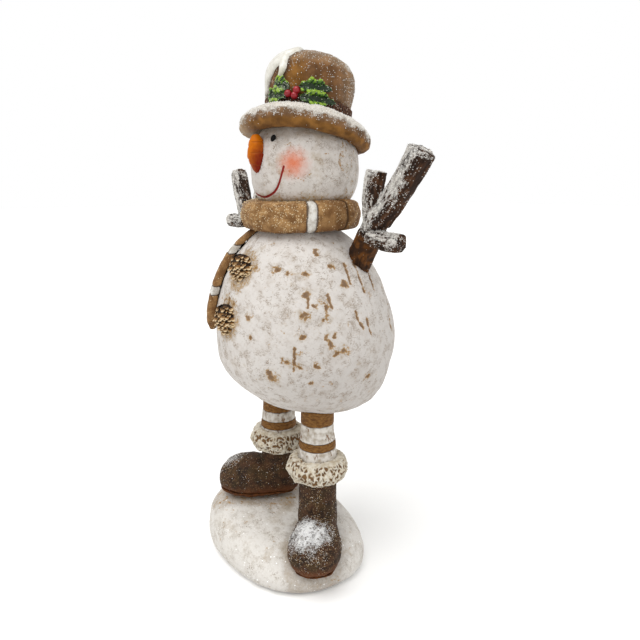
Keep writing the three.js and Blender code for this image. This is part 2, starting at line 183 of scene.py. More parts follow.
def tint(red, green, blue):
    """A colour as a paint chart gives it, 0 to 255, in the linear values that a shader adds up."""
    chart = np.array([red, green, blue]) / 255
    linear = np.where(chart < 0.04045, chart / 12.92, ((chart + 0.055) / 1.055) ** 2.4)
    return (*linear.tolist(), 1.0)


class Finish:
    """A painted finish: one Principled material and the nodes that drive it."""

    def __init__(self, name, **constants):
        self.material = bpy.data.materials.new(name)
        self.material.use_nodes = True
        self.tree = self.material.node_tree
        self.shader = self.tree.nodes["Principled BSDF"]
        for socket, value in constants.items():
            self.shader.inputs[socket.replace("_", " ")].default_value = value
        self.place = self.node("ShaderNodeTexCoord", out="Object")

    def plug(self, value, socket):
        if isinstance(value, Wire):
            self.tree.links.new(value.socket, socket)
        else:
            socket.default_value = value

    def node(self, kind, settings=None, sockets=None, out=0):
        """Adds a node: its type, its settings, the values or wires of its sockets."""
        made = self.tree.nodes.new(kind)
        for name, value in (settings or {}).items():
            setattr(made, name, value)
        for name, value in (sockets or {}).items():
            self.plug(value, made.inputs[name])
        return Wire(self, made.outputs[out])

    def at_size(self, size, stretch=(1, 1, 1)):
        """Coordinates in which one unit is `size` millimetres."""
        scale = [1 / (MM * size * s) for s in stretch]
        return self.node("ShaderNodeVectorMath", {"operation": "MULTIPLY"}, {0: self.place, 1: scale})

    def cloud(self, size, detail=3.0, stretch=(1, 1, 1), rough=0.5):
        sockets = {"Vector": self.at_size(size, stretch), "Detail": detail, "Roughness": rough, "Scale": 1.0}
        return self.node("ShaderNodeTexNoise", {}, sockets)

    def mark(self, name):
        """A value that the carving step left on the mesh's points."""
        return self.node("ShaderNodeAttribute", {"attribute_name": name}, out="Fac")

    def rise(self, value, low, high):
        """0 below low, 1 above high, smooth between."""
        sockets = {"Value": value, "From Min": low, "From Max": high}
        return self.node("ShaderNodeMapRange", {"interpolation_type": "SMOOTHSTEP"}, sockets)

    def mix(self, mask, under, over):
        """The colour `under`, covered by `over` where the mask is 1."""
        return self.node("ShaderNodeMix", {"data_type": "RGBA"}, {0: mask, 6: under, 7: over}, 2)

    def coat(self, under, mask, *paint):
        """The colour `under` with a coat of paint, given from 0 to 255, where the mask is 1."""
        return self.mix(mask, under, tint(*paint))

    def blend(self, value, span, first, second):
        """Two paints that change over as a value rises through a span."""
        return self.mix(self.rise(value, *span), tint(*first), tint(*second))

    def sparks(self, size, share, fill=0.42):
        """Scattered round specks: `share` of the cells, each cell `size` millimetres wide."""
        cells = self.tree.nodes.new("ShaderNodeTexVoronoi")
        self.plug(self.at_size(size), cells.inputs["Vector"])
        cells.inputs["Scale"].default_value = 1.0
        lottery = self.node("ShaderNodeSeparateColor", {}, {0: Wire(self, cells.outputs["Color"])})
        chosen = self.rise(lottery + share, 1.0, 1.03)
        return chosen * (1 - self.rise(Wire(self, cells.outputs["Distance"]), fill * 0.6, fill))

    def frosting(self, mark):
        """Frost as a broken crust with grit round it; the mark says how much of it there is."""
        amount = self.mark(mark)
        broken = self.cloud(1.6, 6, rough=0.85) * 1.6 - 0.8
        crust = self.rise(broken + amount, 0.45, 0.95)
        grit = self.sparks(0.8, amount * 0.7 - 0.03, 0.6) * 0.75
        return self.node("ShaderNodeMath", {"operation": "MAXIMUM"}, {0: crust, 1: grit})

    def hairs(self, size, width, stretch=(1, 1, 1)):
        """1 along thin wandering lines."""
        away = self.node("ShaderNodeMath", {"operation": "ABSOLUTE"}, {0: self.cloud(size, 3, stretch) - 0.5})
        return 1 - self.rise(away, width * 0.4, width)

    def wear(self, colour, roughness=None, *heights):
        """Connects the colour, the roughness and bumps given as (height, depth in millimetres)."""
        self.plug(colour, self.shader.inputs["Base Color"])
        if roughness is not None:
            self.plug(roughness, self.shader.inputs["Roughness"])
        normal = None
        for height, depth in heights:
            sockets = {"Height": height, "Distance": depth * MM, "Strength": 1.0}
            if normal is not None:
                sockets["Normal"] = normal
            normal = self.node("ShaderNodeBump", {}, sockets)
        if normal is not None:
            self.plug(normal, self.shader.inputs["Normal"])
        return self.material


# %% [markdown]
# ## A way to carve
# The CAD solids are faceted, as solids for collision are. A sculptor would take each one as an
# armature and lay a skin on it. A voxel remesh does just that: it rebuilds the solid from
# cubes about a millimetre wide, and a few rounds of smoothing melt the facets away. The skin
# has points of even spacing everywhere, so any pattern can be pressed into it along its
# normals. Noise gives the patterns, and what is pressed in is also left on the points as a
# named value, so that the brown wash lands in the same hollows.

# %% Skin tools
def link_piece(name, mesh, nodes=()):
    """Makes an object of a mesh, rides it on the figure and hides the CAD nodes that it stands for."""
    piece = bpy.data.objects.new(name, mesh)
    bpy.context.scene.collection.objects.link(piece)
    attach(piece, "root")
    if nodes:
        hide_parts(*nodes)
    return piece


def skin(name, nodes, pitch, relax, grow=0.0):
    """A fine skin over CAD nodes: pitch is its spacing, relax its rounds of smoothing."""
    form = bmesh.new()
    for node in nodes:
        form.from_mesh(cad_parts[node].data)
    bmesh.ops.remove_doubles(form, verts=form.verts, dist=1e-6)
    form.normal_update()
    if grow:
        for vertex in form.verts:
            vertex.co += vertex.normal * grow * MM
    rough = bpy.data.meshes.new(name + "_form")
    form.to_mesh(rough)
    form.free()
    piece = link_piece(name, rough, nodes)
    remesh = piece.modifiers.new("remesh", "REMESH")
    remesh.mode = "VOXEL"
    remesh.voxel_size = pitch * MM
    remesh.use_smooth_shade = True
    smooth = piece.modifiers.new("relax", "SMOOTH")
    smooth.factor = 0.5
    smooth.iterations = relax
    settled = piece.evaluated_get(bpy.context.evaluated_depsgraph_get())
    piece.data = bpy.data.meshes.new_from_object(settled)
    piece.data.name = name
    piece.modifiers.clear()
    print(name, len(piece.data.vertices), "points")
    return piece


def read(piece, what):
    """Every point's place ("co", in millimetres) or outward direction ("normal")."""
    values = np.empty(len(piece.data.vertices) * 3, np.float32)
    piece.data.vertices.foreach_get(what, values)
    values = values.reshape(-1, 3).astype(float)
    return values / MM if what == "co" else values


def press(piece, height):
    """Moves each point outwards by its height in millimetres; negative heights carve."""
    moved = read(piece, "co") + read(piece, "normal") * np.asarray(height)[:, None]
    piece.data.vertices.foreach_set("co", (moved * MM).ravel())
    piece.data.update()


def leave(piece, **marks):
    """Leaves named values on the points, for the finish to read."""
    for name, values in marks.items():
        layer = piece.data.attributes.new(name, "FLOAT", "POINT")
        layer.data.foreach_set("value", np.clip(values, -9, 9).astype(np.float32))


def dress(piece, material):
    piece.data.materials.clear()
    piece.data.materials.append(material)
    piece.data.shade_smooth()


# %% Patterns
def rise(value, low, high):
    """0 below low, 1 above high, smooth between."""
    t = np.clip((value - low) / (high - low), 0, 1)
    return t * t * (3 - 2 * t)


def cloud(at, size, octaves=3, stretch=(1, 1, 1), seed=0):
    """Soft noise of about -1 to 1 whose lumps are `size` millimetres wide."""
    places = (at / (size * np.array(stretch)) + seed * 31.7).tolist()
    return np.array([noise.fractal(p, 0.9, 2.0, octaves) for p in places])


def patches(at, size, share, seed, stretch=(1, 1, 1), edge=0.12):
    """1 inside scattered patches that cover about `share` of the surface."""
    field = cloud(at, size, 4, stretch, seed)
    level = np.quantile(field, 1 - share)
    return rise(field, level, level + edge)


def veins(at, size, seed, stretch=(1, 1, 1), width=0.05):
    """1 along thin wandering lines."""
    return 1 - rise(np.abs(cloud(at, size, 3, stretch, seed)), width * 0.3, width)


def reach(at, line):
    """Each point's distance from a line of straight stretches."""
    nearest = np.full(len(at), 1e9)
    for start, end in zip(np.array(line[:-1], float), np.array(line[1:], float)):
        step = end - start
        share = np.clip((at - start) @ step / max(step @ step, 1e-9), 0, 1)
        nearest = np.minimum(nearest, np.linalg.norm(at - start - share[:, None] * step, axis=1))
    return nearest


def turn_of(at, centre):
    """Degrees round the figure: 0 in front, positive towards its own left."""
    return np.degrees(np.arctan2(at[:, 0] - centre[0], centre[1] - at[:, 1]))


# %% [markdown]
# ## Painted snow
# Belly, head and mound share one finish. On the real casting an off-white paint covers a
# plaster-like skin with soft lumps; a brown wash was brushed on and wiped off, so it stays in
# pits, scratches and cracks and leaves a beige veil round them. The marks `brown` and
# `veil` say where the carving left hollows, and finer noise breaks their edges here.
# The beige of `veil` is also painted shade under the hat, above the scarf, low on the
# belly and beside the boots, and the mark `dusk` lays a grey painted shade low on the
# belly, under the hat and beside the boots.

# %% Snow finish
def snow_finish(name, bright, veiled, scuffs=0.6, glitter=0.0):
    paint = Finish(name, Specular_IOR_Level=0.2)
    grain = paint.cloud(2.2, 5, rough=0.65)
    base = paint.mix(paint.rise(paint.cloud(12, 6, rough=0.68), 0.45, 0.7), tint(*bright), tint(*veiled))
    base = paint.mix(paint.rise(paint.cloud(2.8, 5, rough=0.75), 0.5, 0.68) * 0.6, base, tint(*veiled))
    # Painted shade: a grey coat low on the belly, under the hat and beside the boots.
    base = paint.coat(base, paint.mark("dusk"), 128, 120, 116)
    # A beige veil, partly the wash round worn places and partly painted shade.
    veil = paint.rise(paint.mark("veil") + grain * 1.3 - 0.65, 0.2, 1.0)
    base = paint.coat(base, veil * 0.5, 158, 138, 108)
    worn = paint.rise(paint.cloud(11, 3), 0.5, 0.6)
    base = paint.coat(base, paint.hairs(4, 0.016) * worn * 0.6, 112, 88, 60)
    scuffed = paint.rise(paint.cloud(6, 3), 0.5, 0.62)
    base = paint.coat(base, paint.hairs(1.5, 0.05, (1.6, 1.6, 0.7)) * scuffed * scuffs, 118, 96, 70)
    ragged = paint.cloud(1.1, 5, rough=0.8)
    brown = paint.rise(paint.mark("brown") + grain * 1.1 + ragged * 1.2 - 1.15, 0.2, 0.55)
    soaked = paint.mark("brown") + grain * 0.4
    wash = paint.blend(soaked, (0.5, 1.15), (162, 124, 66), (104, 68, 20))
    colour = paint.mix(brown * 0.85, base, wash)
    flecks = paint.sparks(1.1, paint.rise(paint.cloud(9, 2), 0.5, 0.7) * 0.045, 0.4)
    colour = paint.coat(colour, flecks * 0.7, 96, 66, 34)
    if glitter:
        colour = paint.coat(colour, paint.sparks(1.6, glitter), 255, 255, 255)
    rough = 0.68 + brown * 0.2 - grain * 0.12
    return paint, colour, rough, ((grain, 0.4), (paint.cloud(0.8, 3), 0.12))


# %% [markdown]
# ## Belly
# The belly is one large egg that leans forward. Its skin is smoothed for long, because its
# CAD facets are wide. Then come soft lumps, hammered dimples, worn pits of a few millimetres,
# upright cracks, and the folds pulled into the clay where each arm was pushed in.

# %% Belly skin
belly = skin("belly_snow", ["belly"], 1.15, 109)
at = read(belly, "co")
belly_low = box_mm("belly")[0]
turn = turn_of(at, (0, 2))


def on_belly(degrees, height):
    """The point of the belly's skin at a turn in degrees and a height above the ground."""
    return at[np.argmin((turn - degrees) ** 2 + ((at[:, 2] - height) * 1.2) ** 2)]


# Paint wears off where hands hold the figure, so the spots gather on the left front of the belly.
# Each has degrees round, a height and a radius, and few of them are large.
SPOT_COUNT = 30
dice = np.random.default_rng(7)
spot_turns = dice.normal(66, 24, SPOT_COUNT)
spot_heights = dice.uniform(172, 262, SPOT_COUNT)
spot_sizes = 1.6 + dice.gamma(2.0, 0.45, SPOT_COUNT)


def upright_crack(degrees, top, length, drift):
    """A crack down the belly, which drifts sideways by some degrees on its way."""
    stops = [(degrees + drift * share**2, top - length * share) for share in (0, 0.5, 1)]
    return [on_belly(*stop) for stop in stops]


cracks = []
for arm in ("arm_left_trunk", "arm_right_trunk"):
    low, high = box_mm(arm)
    root = float(turn_of(((low + high) / 2)[None], (0, 2))[0])
    for aside in (-17, -6, 8):
        cracks.append(upright_crack(root + aside, low[2] + 8, dice.uniform(12, 22), dice.uniform(-3, 3)))
for _ in range(6):
    place = dice.uniform(10, 125), dice.uniform(185, 236)
    cracks.append(upright_crack(*place, dice.uniform(6, 16), dice.uniform(-4, 4)))
ragged = cloud(at, 3.0, 4, (1.5, 1.5, 1), seed=21)
spot = np.zeros(len(at))
for degrees, height, size in zip(spot_turns, spot_heights, spot_sizes):
    away = np.linalg.norm(at - on_belly(degrees, height), axis=1) + 2.6 * ragged
    spot = np.maximum(spot, 1 - rise(away, size * 0.1, size * 1.35))
seam = np.full(len(at), 1e9)
for line in cracks:
    seam = np.minimum(seam, reach(at, line))
seam = 1 - rise(seam + 0.9 * ragged, 0.2, 1.6)
elsewhere = np.where((turn > 0) & (turn < 125), 0.45, 1.0)
pit = patches(at, 7.5, 0.045, 2, edge=0.3) * elsewhere
crack = veins(at, 11, 4, (1, 1, 3.5), 0.035) * patches(at, 17, 0.12, 5) * elsewhere
print("worn share of the belly", round(float((spot + pit > 0.5).mean()), 3))

veil = 0.3 * rise(cloud(at, 15, 5, seed=6), 0.0, 0.8) + 0.5 * patches(at, 7, 0.12, 7, edge=0.5)
# Painted shade: the veil thickens towards the bottom of the belly.
veil += 0.4 * rise(belly_low[2] + 26 - at[:, 2], 0, 26)
halo = np.zeros(len(at))
for degrees, height, size in zip(spot_turns, spot_heights, spot_sizes):
    away = np.linalg.norm(at - on_belly(degrees, height), axis=1)
    halo = np.maximum(halo, 1 - rise(away, size, size * 2.4))
veil += 0.5 * halo
# Round each pinecone button a smear, partly brown wash and partly the cone's painted shadow.
smear = np.zeros(len(at))
for button in ("pinecone_button_upper", "pinecone_button_lower"):
    low, high = box_mm(button)
    near = np.linalg.norm((at - (low + high) / 2) * [1, 0.7, 0.85], axis=1)
    smear = np.maximum(smear, 1 - rise(near + 3 * cloud(at, 5, 3, seed=8), 11, 18))
veil += smear
underside = rise(-read(belly, "normal")[:, 2], 0.5, 0.95)
foot = (1 - rise(at[:, 2], belly_low[2] + 3, belly_low[2] + 24)) * underside
lumps = 0.8 * cloud(at, 30, 2, seed=1) + 0.38 * cloud(at, 10, 3, seed=3)
press(belly, 0.5 + 0.9 * foot + lumps - 0.5 * pit - 0.45 * spot - 0.5 * crack - 0.75 * seam)
# Painted shade: a grey that grows lower down the belly and towards its sides.
dusk = 0.26 * (1 - rise(at[:, 2], 150, 265)) * rise(np.abs(turn - 10), 0, 60)
worn = np.clip(0.8 * pit + 0.95 * spot + 0.8 * crack + seam + 0.35 * smear, 0, 1)
leave(belly, brown=worn, veil=veil, dusk=dusk)
paint, colour, rough, bumps = snow_finish("body_snow_paint", (210, 205, 200), (193, 185, 177))
dress(belly, paint.wear(colour, rough, *bumps))

# %% [markdown]
# ## Head
# The head is pressed flatter than a ball. Its mouth is a thin line, drawn with a liner brush in
# a shallow groove, and each cheek has a round blush from an airbrush. Both are distances on the
# skin: a distance varies evenly between points, so the line's edge stays sharp at any size.

# %% Head skin
head = skin("head_snow", ["head"], 0.82, 57)
at = read(head, "co")
head_low, head_high = box_mm("head")
hub = np.array([0, 0.6, (head_low[2] + head_high[2]) / 2])
turn = turn_of(at, hub)
radius = np.hypot(at[:, 0] - hub[0], at[:, 1] - hub[1])


def on_head(degrees, height):
    """The point of the head's skin at a turn and a height."""
    return at[np.argmin((turn - degrees) ** 2 + (at[:, 2] - height) ** 2 + (radius < 20) * 1e4)]


smile = []
for side in np.linspace(-1, 1, 81):
    smile.append(on_head(37.5 * side - 0.5, 297.8 + 8 * abs(side) ** 2 + 15.5 * abs(side) ** 6))
smile = np.array([smile[0]] * 5 + smile + [smile[-1]] * 5)
smile = np.mean([smile[k : k + 81] for k in range(11)], axis=0)
mouth = reach(at, smile)
cheek_left = np.linalg.norm(at - on_head(45, 320.5), axis=1)
cheek_right = np.linalg.norm(at - on_head(-45, 320.5), axis=1)
blush = 1 - np.minimum(cheek_left, cheek_right) / 14.5

# A crease in the side of the head: half an oval, open towards the back. The same number is its
# width in degrees and half its height in millimetres.
CREASE_TURN, CREASE_HIGH, CREASE_REACH = 100, 322, 6
bow = []
for angle in np.linspace(-math.pi / 2, math.pi / 2, 7):
    aside = CREASE_TURN - CREASE_REACH * math.cos(angle)
    bow.append(on_head(aside, CREASE_HIGH + CREASE_REACH * math.sin(angle)))
crease = 1 - rise(reach(at, bow), 0.3, 1.5)
scratch = veins(at, 5, 34, (2.4, 2.4, 1), 0.04) * patches(at, 10, 0.32, 35)
nick = patches(at, 4.5, 0.012, 36, edge=0.3)
back_lines = veins(at, 4, 37, (1, 1, 6), 0.06) * rise(np.abs(turn), 75, 105)
lumps = 0.6 * cloud(at, 21, 2, seed=31) + 0.22 * cloud(at, 7, 3, seed=33)
lip = 1 - rise(mouth, 0.5, 1.4)
press(head, 0.45 + lumps - 0.45 * lip - 0.5 * crease - 0.35 * scratch - 0.4 * nick - 0.25 * back_lines)
# Painted shade: beige under the brim of the hat and above the scarf, grey under the hat and a little over the
# whole head, and some brown above the scarf.
under_hat = rise(at[:, 2] + 4 * cloud(at, 9, 3, seed=38), head_high[2] - 26, head_high[2] - 8)
over_scarf = 1 - rise(at[:, 2] + 3 * cloud(at, 8, 3, seed=39), 294, 303)
veil = 0.8 * under_hat + 1.0 * over_scarf + 0.75 * rise(cloud(at, 14, 4, seed=40), 0.0, 0.8)
veil += 0.5 * back_lines
dusk = 0.05 + 0.3 * rise(at[:, 2] + 2 * cloud(at, 7, 3, seed=41), head_high[2] - 14, head_high[2] - 2)
brown = np.clip(0.6 * scratch + 0.6 * nick + 0.45 * crease + 0.5 * back_lines + 0.35 * over_scarf, 0, 1)
leave(head, dusk=dusk, brown=brown, veil=veil, mouth=mouth, blush=blush)


def face_finish():
    paint, colour, rough, bumps = snow_finish("face_paint", (207, 201, 195), (188, 180, 172), 0.5)
    fluff = paint.cloud(3, 4)
    blush = paint.rise(paint.mark("blush") + fluff * 0.5 - 0.25, 0.0, 1.0)
    colour = paint.coat(colour, blush * 0.85, 208, 106, 62)
    line = 1 - paint.rise(paint.mark("mouth"), 0.65, 1.0)
    colour = paint.coat(colour, line, 128, 26, 20)
    return paint.wear(colour, rough, *bumps)


dress(head, face_finish())

# %% [markdown]
# ## Eyes and carrot nose
# The eyes are two glossy black ovals. The nose is a carrot that stands up along the face. It
# was airbrushed: yellow on its crown, red towards its foot and on its left, with the short
# crosswise creases that a carrot has.

# %% Small round things
def ellipsoid(centre, half, around=28, rows=18):
    """Points and faces of an oval of the given half sizes."""
    points, faces = [], []
    for row in range(rows + 1):
        up = math.pi * row / rows
        for k in range(around):
            side = 2 * math.pi * k / around
            unit = np.array([math.sin(up) * math.cos(side), math.sin(up) * math.sin(side), math.cos(up)])
            points.append(centre + unit * half)
    for row in range(rows):
        for k in range(around):
            a, b = row * around + k, row * around + (k + 1) % around
            faces.append((a, a + around, b + around, b))
    return np.array(points), faces


def as_mesh(name, points, faces):
    """A mesh from points in millimetres; points that fall together are welded."""
    mesh = bpy.data.meshes.new(name)
    mesh.from_pydata((np.asarray(points) * MM).tolist(), [], faces)
    form = bmesh.new()
    form.from_mesh(mesh)
    bmesh.ops.remove_doubles(form, verts=form.verts, dist=1e-7)
    bmesh.ops.dissolve_degenerate(form, edges=form.edges, dist=1e-8)
    bmesh.ops.recalc_face_normals(form, faces=form.faces)
    form.to_mesh(mesh)
    form.free()
    return mesh


def eye_finish():
    paint = Finish("eye_enamel", Specular_IOR_Level=0.12)
    smear = paint.cloud(1.5, 3)
    return paint.wear(paint.mix(smear, tint(2, 2, 2), tint(10, 8, 8)), 0.3 + smear * 0.15)


eye_material = eye_finish()
for node in ("eye_left", "eye_right"):
    low, high = box_mm(node)
    half = (high - low) / 2
    half[1] = max(half[1], half[0] * 0.8)
    half[2] *= 0.9
    points, faces = ellipsoid((low + high) / 2 + [0, 0.3, 0], half)
    points[:, 0] += 0.5 * (points[:, 2] - (low + high)[2] / 2)
    dress(link_piece(node + "_enamel", as_mesh(node, points, faces), [node]), eye_material)

# %% Carrot
nose = skin("carrot_nose_skin", ["carrot_nose"], 0.4, 25)
at = read(nose, "co")
low, high = box_mm("carrot_nose")
tall = (at[:, 2] - low[2]) / (high[2] - low[2])
ring = np.zeros(len(at))
for share, side, wide in ((0.2, 1, 0.5), (0.36, -1, 0.5), (0.52, 1, 0.7), (0.68, -1, 0.5), (0.8, 1, 0.6)):
    groove = np.exp(-(((at[:, 2] - low[2] - share * (high[2] - low[2])) / wide) ** 2))
    ring += groove * rise(side * at[:, 0] + 2 * cloud(at, 4, 2, seed=51), -1.0, 3.5)
press(nose, 0.25 + 0.22 * cloud(at, 5, 3, seed=52) - 0.35 * ring)
leave(nose, tall=tall, side=at[:, 0] / 7.0, ring=ring)


def carrot_finish():
    paint = Finish("carrot_paint", Specular_IOR_Level=0.12)
    grain = paint.cloud(2.5, 4)
    red = paint.rise(paint.mark("side") * 0.55 - paint.mark("tall") * 0.9 + grain * 0.4 + 0.52, 0.1, 1.0)
    colour = paint.mix(red, tint(194, 104, 2), tint(112, 20, 2))
    colour = paint.coat(colour, paint.rise(0.3 - paint.mark("tall"), 0.0, 0.35) * 0.7, 112, 18, 3)
    colour = paint.coat(colour, paint.rise(paint.mark("ring"), 0.3, 1.0) * 0.5, 126, 58, 6)
    return paint.wear(colour, 0.42 + grain * 0.15, (grain, 0.15))


dress(nose, carrot_finish())

# %% [markdown]
# ## Scarf
# The scarf is a fat collar with a hanging end. It was modelled in clay, so its weave is only a
# fine bristle, but the white stripes are cut in with a knife: a groove on either side. A fold
# on the left shows where the end is tucked under. Gold glitter lies all over it.

# %% Scarf skins
def stripe_marks(value, starts, wide, gap):
    """White stripes along a value: 1 on a stripe, and 1 in the knife cuts beside it."""
    stripe, cut = np.zeros(len(value)), np.zeros(len(value))
    for start in starts:
        end, soft = start + wide, gap * 0.4
        stripe = np.maximum(stripe, rise(value, start - soft, start) * (1 - rise(value, end, end + soft)))
        for edge in (start, end):
            cut = np.maximum(cut, np.exp(-(((value - edge) / gap) ** 2)))
    return stripe, cut


wrap = skin("scarf_wrap_wool", ["scarf_wrap"], 0.95, 28)
at = read(wrap, "co")
low, high = box_mm("scarf_wrap")
hub = (low + high) / 2
turn = turn_of(at, hub)
wobble = 1.2 * cloud(at, 9, 2, seed=61)
stripe, cut = stripe_marks(turn + wobble, (62.5, -178, -74), 9.5, 1.5)
fold = np.exp(-(((turn - 106 + wobble) / 1.8) ** 2))
tuck = rise(turn, 104, 108) * (1 - rise(turn, 128, 140))
lumps = 0.5 * cloud(at, 16, 2, seed=62) + 0.2 * cloud(at, 3.5, 3, seed=63)
press(wrap, 0.45 + lumps - 0.9 * cut - 1.1 * fold + 0.7 * tuck)
hem = 1 - rise(at[:, 2] + 2 * cloud(at, 6, 2, seed=64), low[2] + 2, low[2] + 8)
shaded_side = 0.45 * rise(turn, 70, 90)
dark = np.clip(hem * 0.6 + shaded_side + 0.35 * cloud(at, 14, 3, seed=65), 0, 1)
gold = np.clip(0.14 + 0.2 * cloud(at, 7, 3, seed=60) + 0.1 * (turn < 60) - 0.1 * hem, 0, 1)
on_top = rise(at[:, 2] + 2 * cloud(at, 5, 2, seed=59), hub[2] - 4, high[2])
pale = (1 - rise(np.abs(turn + 38), 10, 40)) * on_top
leave(wrap, stripe=stripe, cut=np.clip(cut + fold, 0, 1), dark=dark, gold=gold, pale=0.6 * pale)
scarf_gold = gold

tail = skin("scarf_tail_wool", ["scarf_tail"], 0.7, 16)
at = read(tail, "co")
low, high = box_mm("scarf_tail")
tail_middle = (low + high) / 2
slant = at[:, 2] + 0.12 * (at[:, 0] - tail_middle[0])
stripe, cut = stripe_marks(slant + 0.5 * cloud(at, 7, 2, seed=66), (257, 225), 6.8, 0.8)
fringe = (1 - rise(at[:, 2], low[2] + 1, low[2] + 9)) * rise(np.sin(at[:, 0] * 2.2), 0.2, 0.9)
press(tail, 0.35 + 0.3 * cloud(at, 6, 3, seed=67) - 0.8 * cut - 0.7 * fringe)
dark = 0.2 + rise(cloud(at, 9, 3, seed=68), 0.0, 0.8) * 0.6
leave(tail, stripe=stripe, cut=np.clip(cut + 0.6 * fringe, 0, 1), dark=dark, gold=np.full(len(at), 0.05))


def scarf_finish():
    paint = Finish("scarf_paint", Specular_IOR_Level=0.25)
    fuzz = paint.cloud(1.0, 3)
    tone = paint.cloud(6, 4)
    tan = paint.blend(tone + fuzz * 0.3 - 0.15, (0.3, 0.7), (112, 78, 42), (168, 130, 84))
    tan = paint.coat(tan, paint.mark("dark") * 0.75, 104, 68, 34)
    brushed = paint.rise(paint.cloud(2.2, 3, (1, 1, 0.25)), 0.5, 0.7) * 0.4
    tan = paint.coat(tan, brushed, 96, 62, 30)
    gold = paint.sparks(0.85, paint.mark("gold") * 0.9, 0.55)
    tan = paint.coat(tan, gold * 0.75, 222, 202, 166)
    tan = paint.coat(tan, paint.mark("pale") * paint.rise(fuzz, 0.3, 0.7), 206, 190, 166)
    white = paint.blend(tone + fuzz * 0.4, (0.5, 0.9), (222, 220, 214), (170, 162, 150))
    colour = paint.mix(paint.rise(paint.mark("stripe"), 0.3, 0.7), tan, white)
    cut = paint.rise(paint.mark("cut") + fuzz * 0.3 - 0.15, 0.45, 0.9)
    colour = paint.coat(colour, cut * 0.85, 64, 42, 22)
    return paint.wear(colour, 0.75 - gold * 0.35, (fuzz, 0.3), (tone, 0.3))


scarf_material = scarf_finish()
dress(wrap, scarf_material)
dress(tail, scarf_material)

# %% [markdown]
# ## Pinecone buttons
# Two small pinecones stand on the belly as buttons, tips down. A cone's scales follow the
# golden angle: each next scale is turned by 137.5 degrees and sits a little lower. Only the
# front half is cast. Each scale is its own blunt blade over a dark core.

# %% Pinecones
GOLDEN = math.radians(137.508)


def pinecone(name, node, material):
    low, high = box_mm(node)
    half = (high - low) / 2 * 0.94
    half[1] = half[0] * 0.92
    centre = (low + high) / 2
    centre[1] = low[1] + half[1] + 1.5
    tilt = 0.22
    points, faces = ellipsoid(np.zeros(3), half * [0.8, 0.8, 0.88], 24, 16)
    layers = [(points, faces, np.zeros(len(points)))]
    count = 190
    dice = np.random.default_rng(len(name))
    for k in range(count):
        share = (k + 0.5) / count
        level = 1 - 2 * share
        width = math.sqrt(1 - level**2)
        out = np.array([math.cos(k * GOLDEN), math.sin(k * GOLDEN), 0])
        if out[1] > 0.3:
            continue
        stand = out * [half[0], half[1], 0] * width * 0.8 + [0, 0, half[2] * level * 0.86]
        long = out * (0.3 + 0.8 * width) + [0, 0, -0.6] + dice.normal(scale=0.25, size=3)
        long /= np.linalg.norm(long)
        across = np.cross(long, [0, 0, 1.0])
        across /= np.linalg.norm(across)
        face = np.cross(across, long)
        stand = stand + dice.normal(scale=0.35, size=3)
        size = (0.7 + 0.4 * width) * dice.uniform(0.7, 1.3)
        blade, blade_faces = ellipsoid(np.zeros(3), np.array([1.8, 0.5, 2.1]) * size, 10, 7)
        blade[:, 1] += 0.2 * blade[:, 0] ** 2 / size
        tip = (blade[:, 2] / (2.1 * size) + 1) / 2
        blade = blade[:, [0]] * across + blade[:, [1]] * face + blade[:, [2]] * long
        layers.append((blade + stand, blade_faces, tip))
    points, faces, tips = [], [], []
    for some, its_faces, tip in layers:
        start = len(points)
        points.extend(some.tolist())
        faces.extend([tuple(start + i for i in f) for f in its_faces])
        tips.extend(tip.tolist())
    points = np.array(points)
    lean = np.array([[1, 0, 0], [0, math.cos(tilt), -math.sin(tilt)], [0, math.sin(tilt), math.cos(tilt)]])
    mesh = bpy.data.meshes.new(name)
    mesh.from_pydata(((points @ lean.T + centre) * MM).tolist(), [], faces)
    piece = link_piece(name, mesh, [node])
    leave(piece, tip=np.array(tips))
    dress(piece, material)
    print(name, len(layers) - 1, "scales")
    return piece


def cone_finish():
    paint = Finish("cone_gold_paint", Specular_IOR_Level=0.25)
    tone = paint.cloud(1.6, 3)
    tip = paint.mark("tip")
    colour = paint.blend(tip, (0.35, 0.8), (34, 20, 6), (136, 94, 44))
    colour = paint.coat(colour, paint.rise(tip + tone * 0.9, 1.1, 1.4), 220, 198, 160)
    colour = paint.coat(colour, paint.rise(tone, 0.55, 0.7) * 0.4, 78, 48, 18)
    return paint.wear(colour, 0.65, (tone, 0.2))


cone_material = cone_finish()
for place in ("upper", "lower"):
    pinecone(f"pinecone_{place}_scales", f"pinecone_button_{place}", cone_material)

# %% [markdown]
# ## Hat
# A felt top hat that leans back: a rolled brim, a domed crown and a ribbon. The places on it
# are measured in the hat's own upright frame. Frost lies on whatever faces the sky and gets
# thinner over the roll of the brim, and the hollow under the brim is rubbed with ochre.

# %% The hat's own frame
HAT_LEAN = math.radians(9.5)
hat_low, hat_high = box_mm("hat_brim")
hat_hub = (hat_low + hat_high) / 2


def upright(vectors):
    """Turns vectors from the leaning hat into its own upright frame."""
    c, s = math.cos(HAT_LEAN), math.sin(HAT_LEAN)
    x, y, z = np.asarray(vectors).T
    return np.stack([x, y * c - z * s, y * s + z * c], 1)


# %% [markdown]
# The felt is darker along the snow, so the snow's outline is needed before the felt is painted.
# It is a height that depends on the turn round the crown, a straight edge at the back, and a
# drip, which is a row of beads that get smaller on their way down.

# %% Outline of the snow
SNOW_LOW = 352  # the lowest point of the snow, at the crown's right front
SNOW_BACK = math.radians(221)  # the way that its straight back edge faces
SNOW_CORNER = [19, -19]  # x and y of a point that this edge passes over
DRIP = {"turn": 13, "sway": 4, "top": 390, "low": 377.5, "wide": 4.2, "tip": 1.8}


def snow_edge(turn):
    """Height of the snow's lower edge: a steep step in front, a rise on either side of it."""
    step = 26 * rise(turn, -36, -12)
    left_side = 21 * (1 - (1 - np.clip((turn + 12) / 80, 0, 1)) ** 2)
    right_side = 50 * rise(-turn, 50, 155)
    return SNOW_LOW + step + left_side + right_side


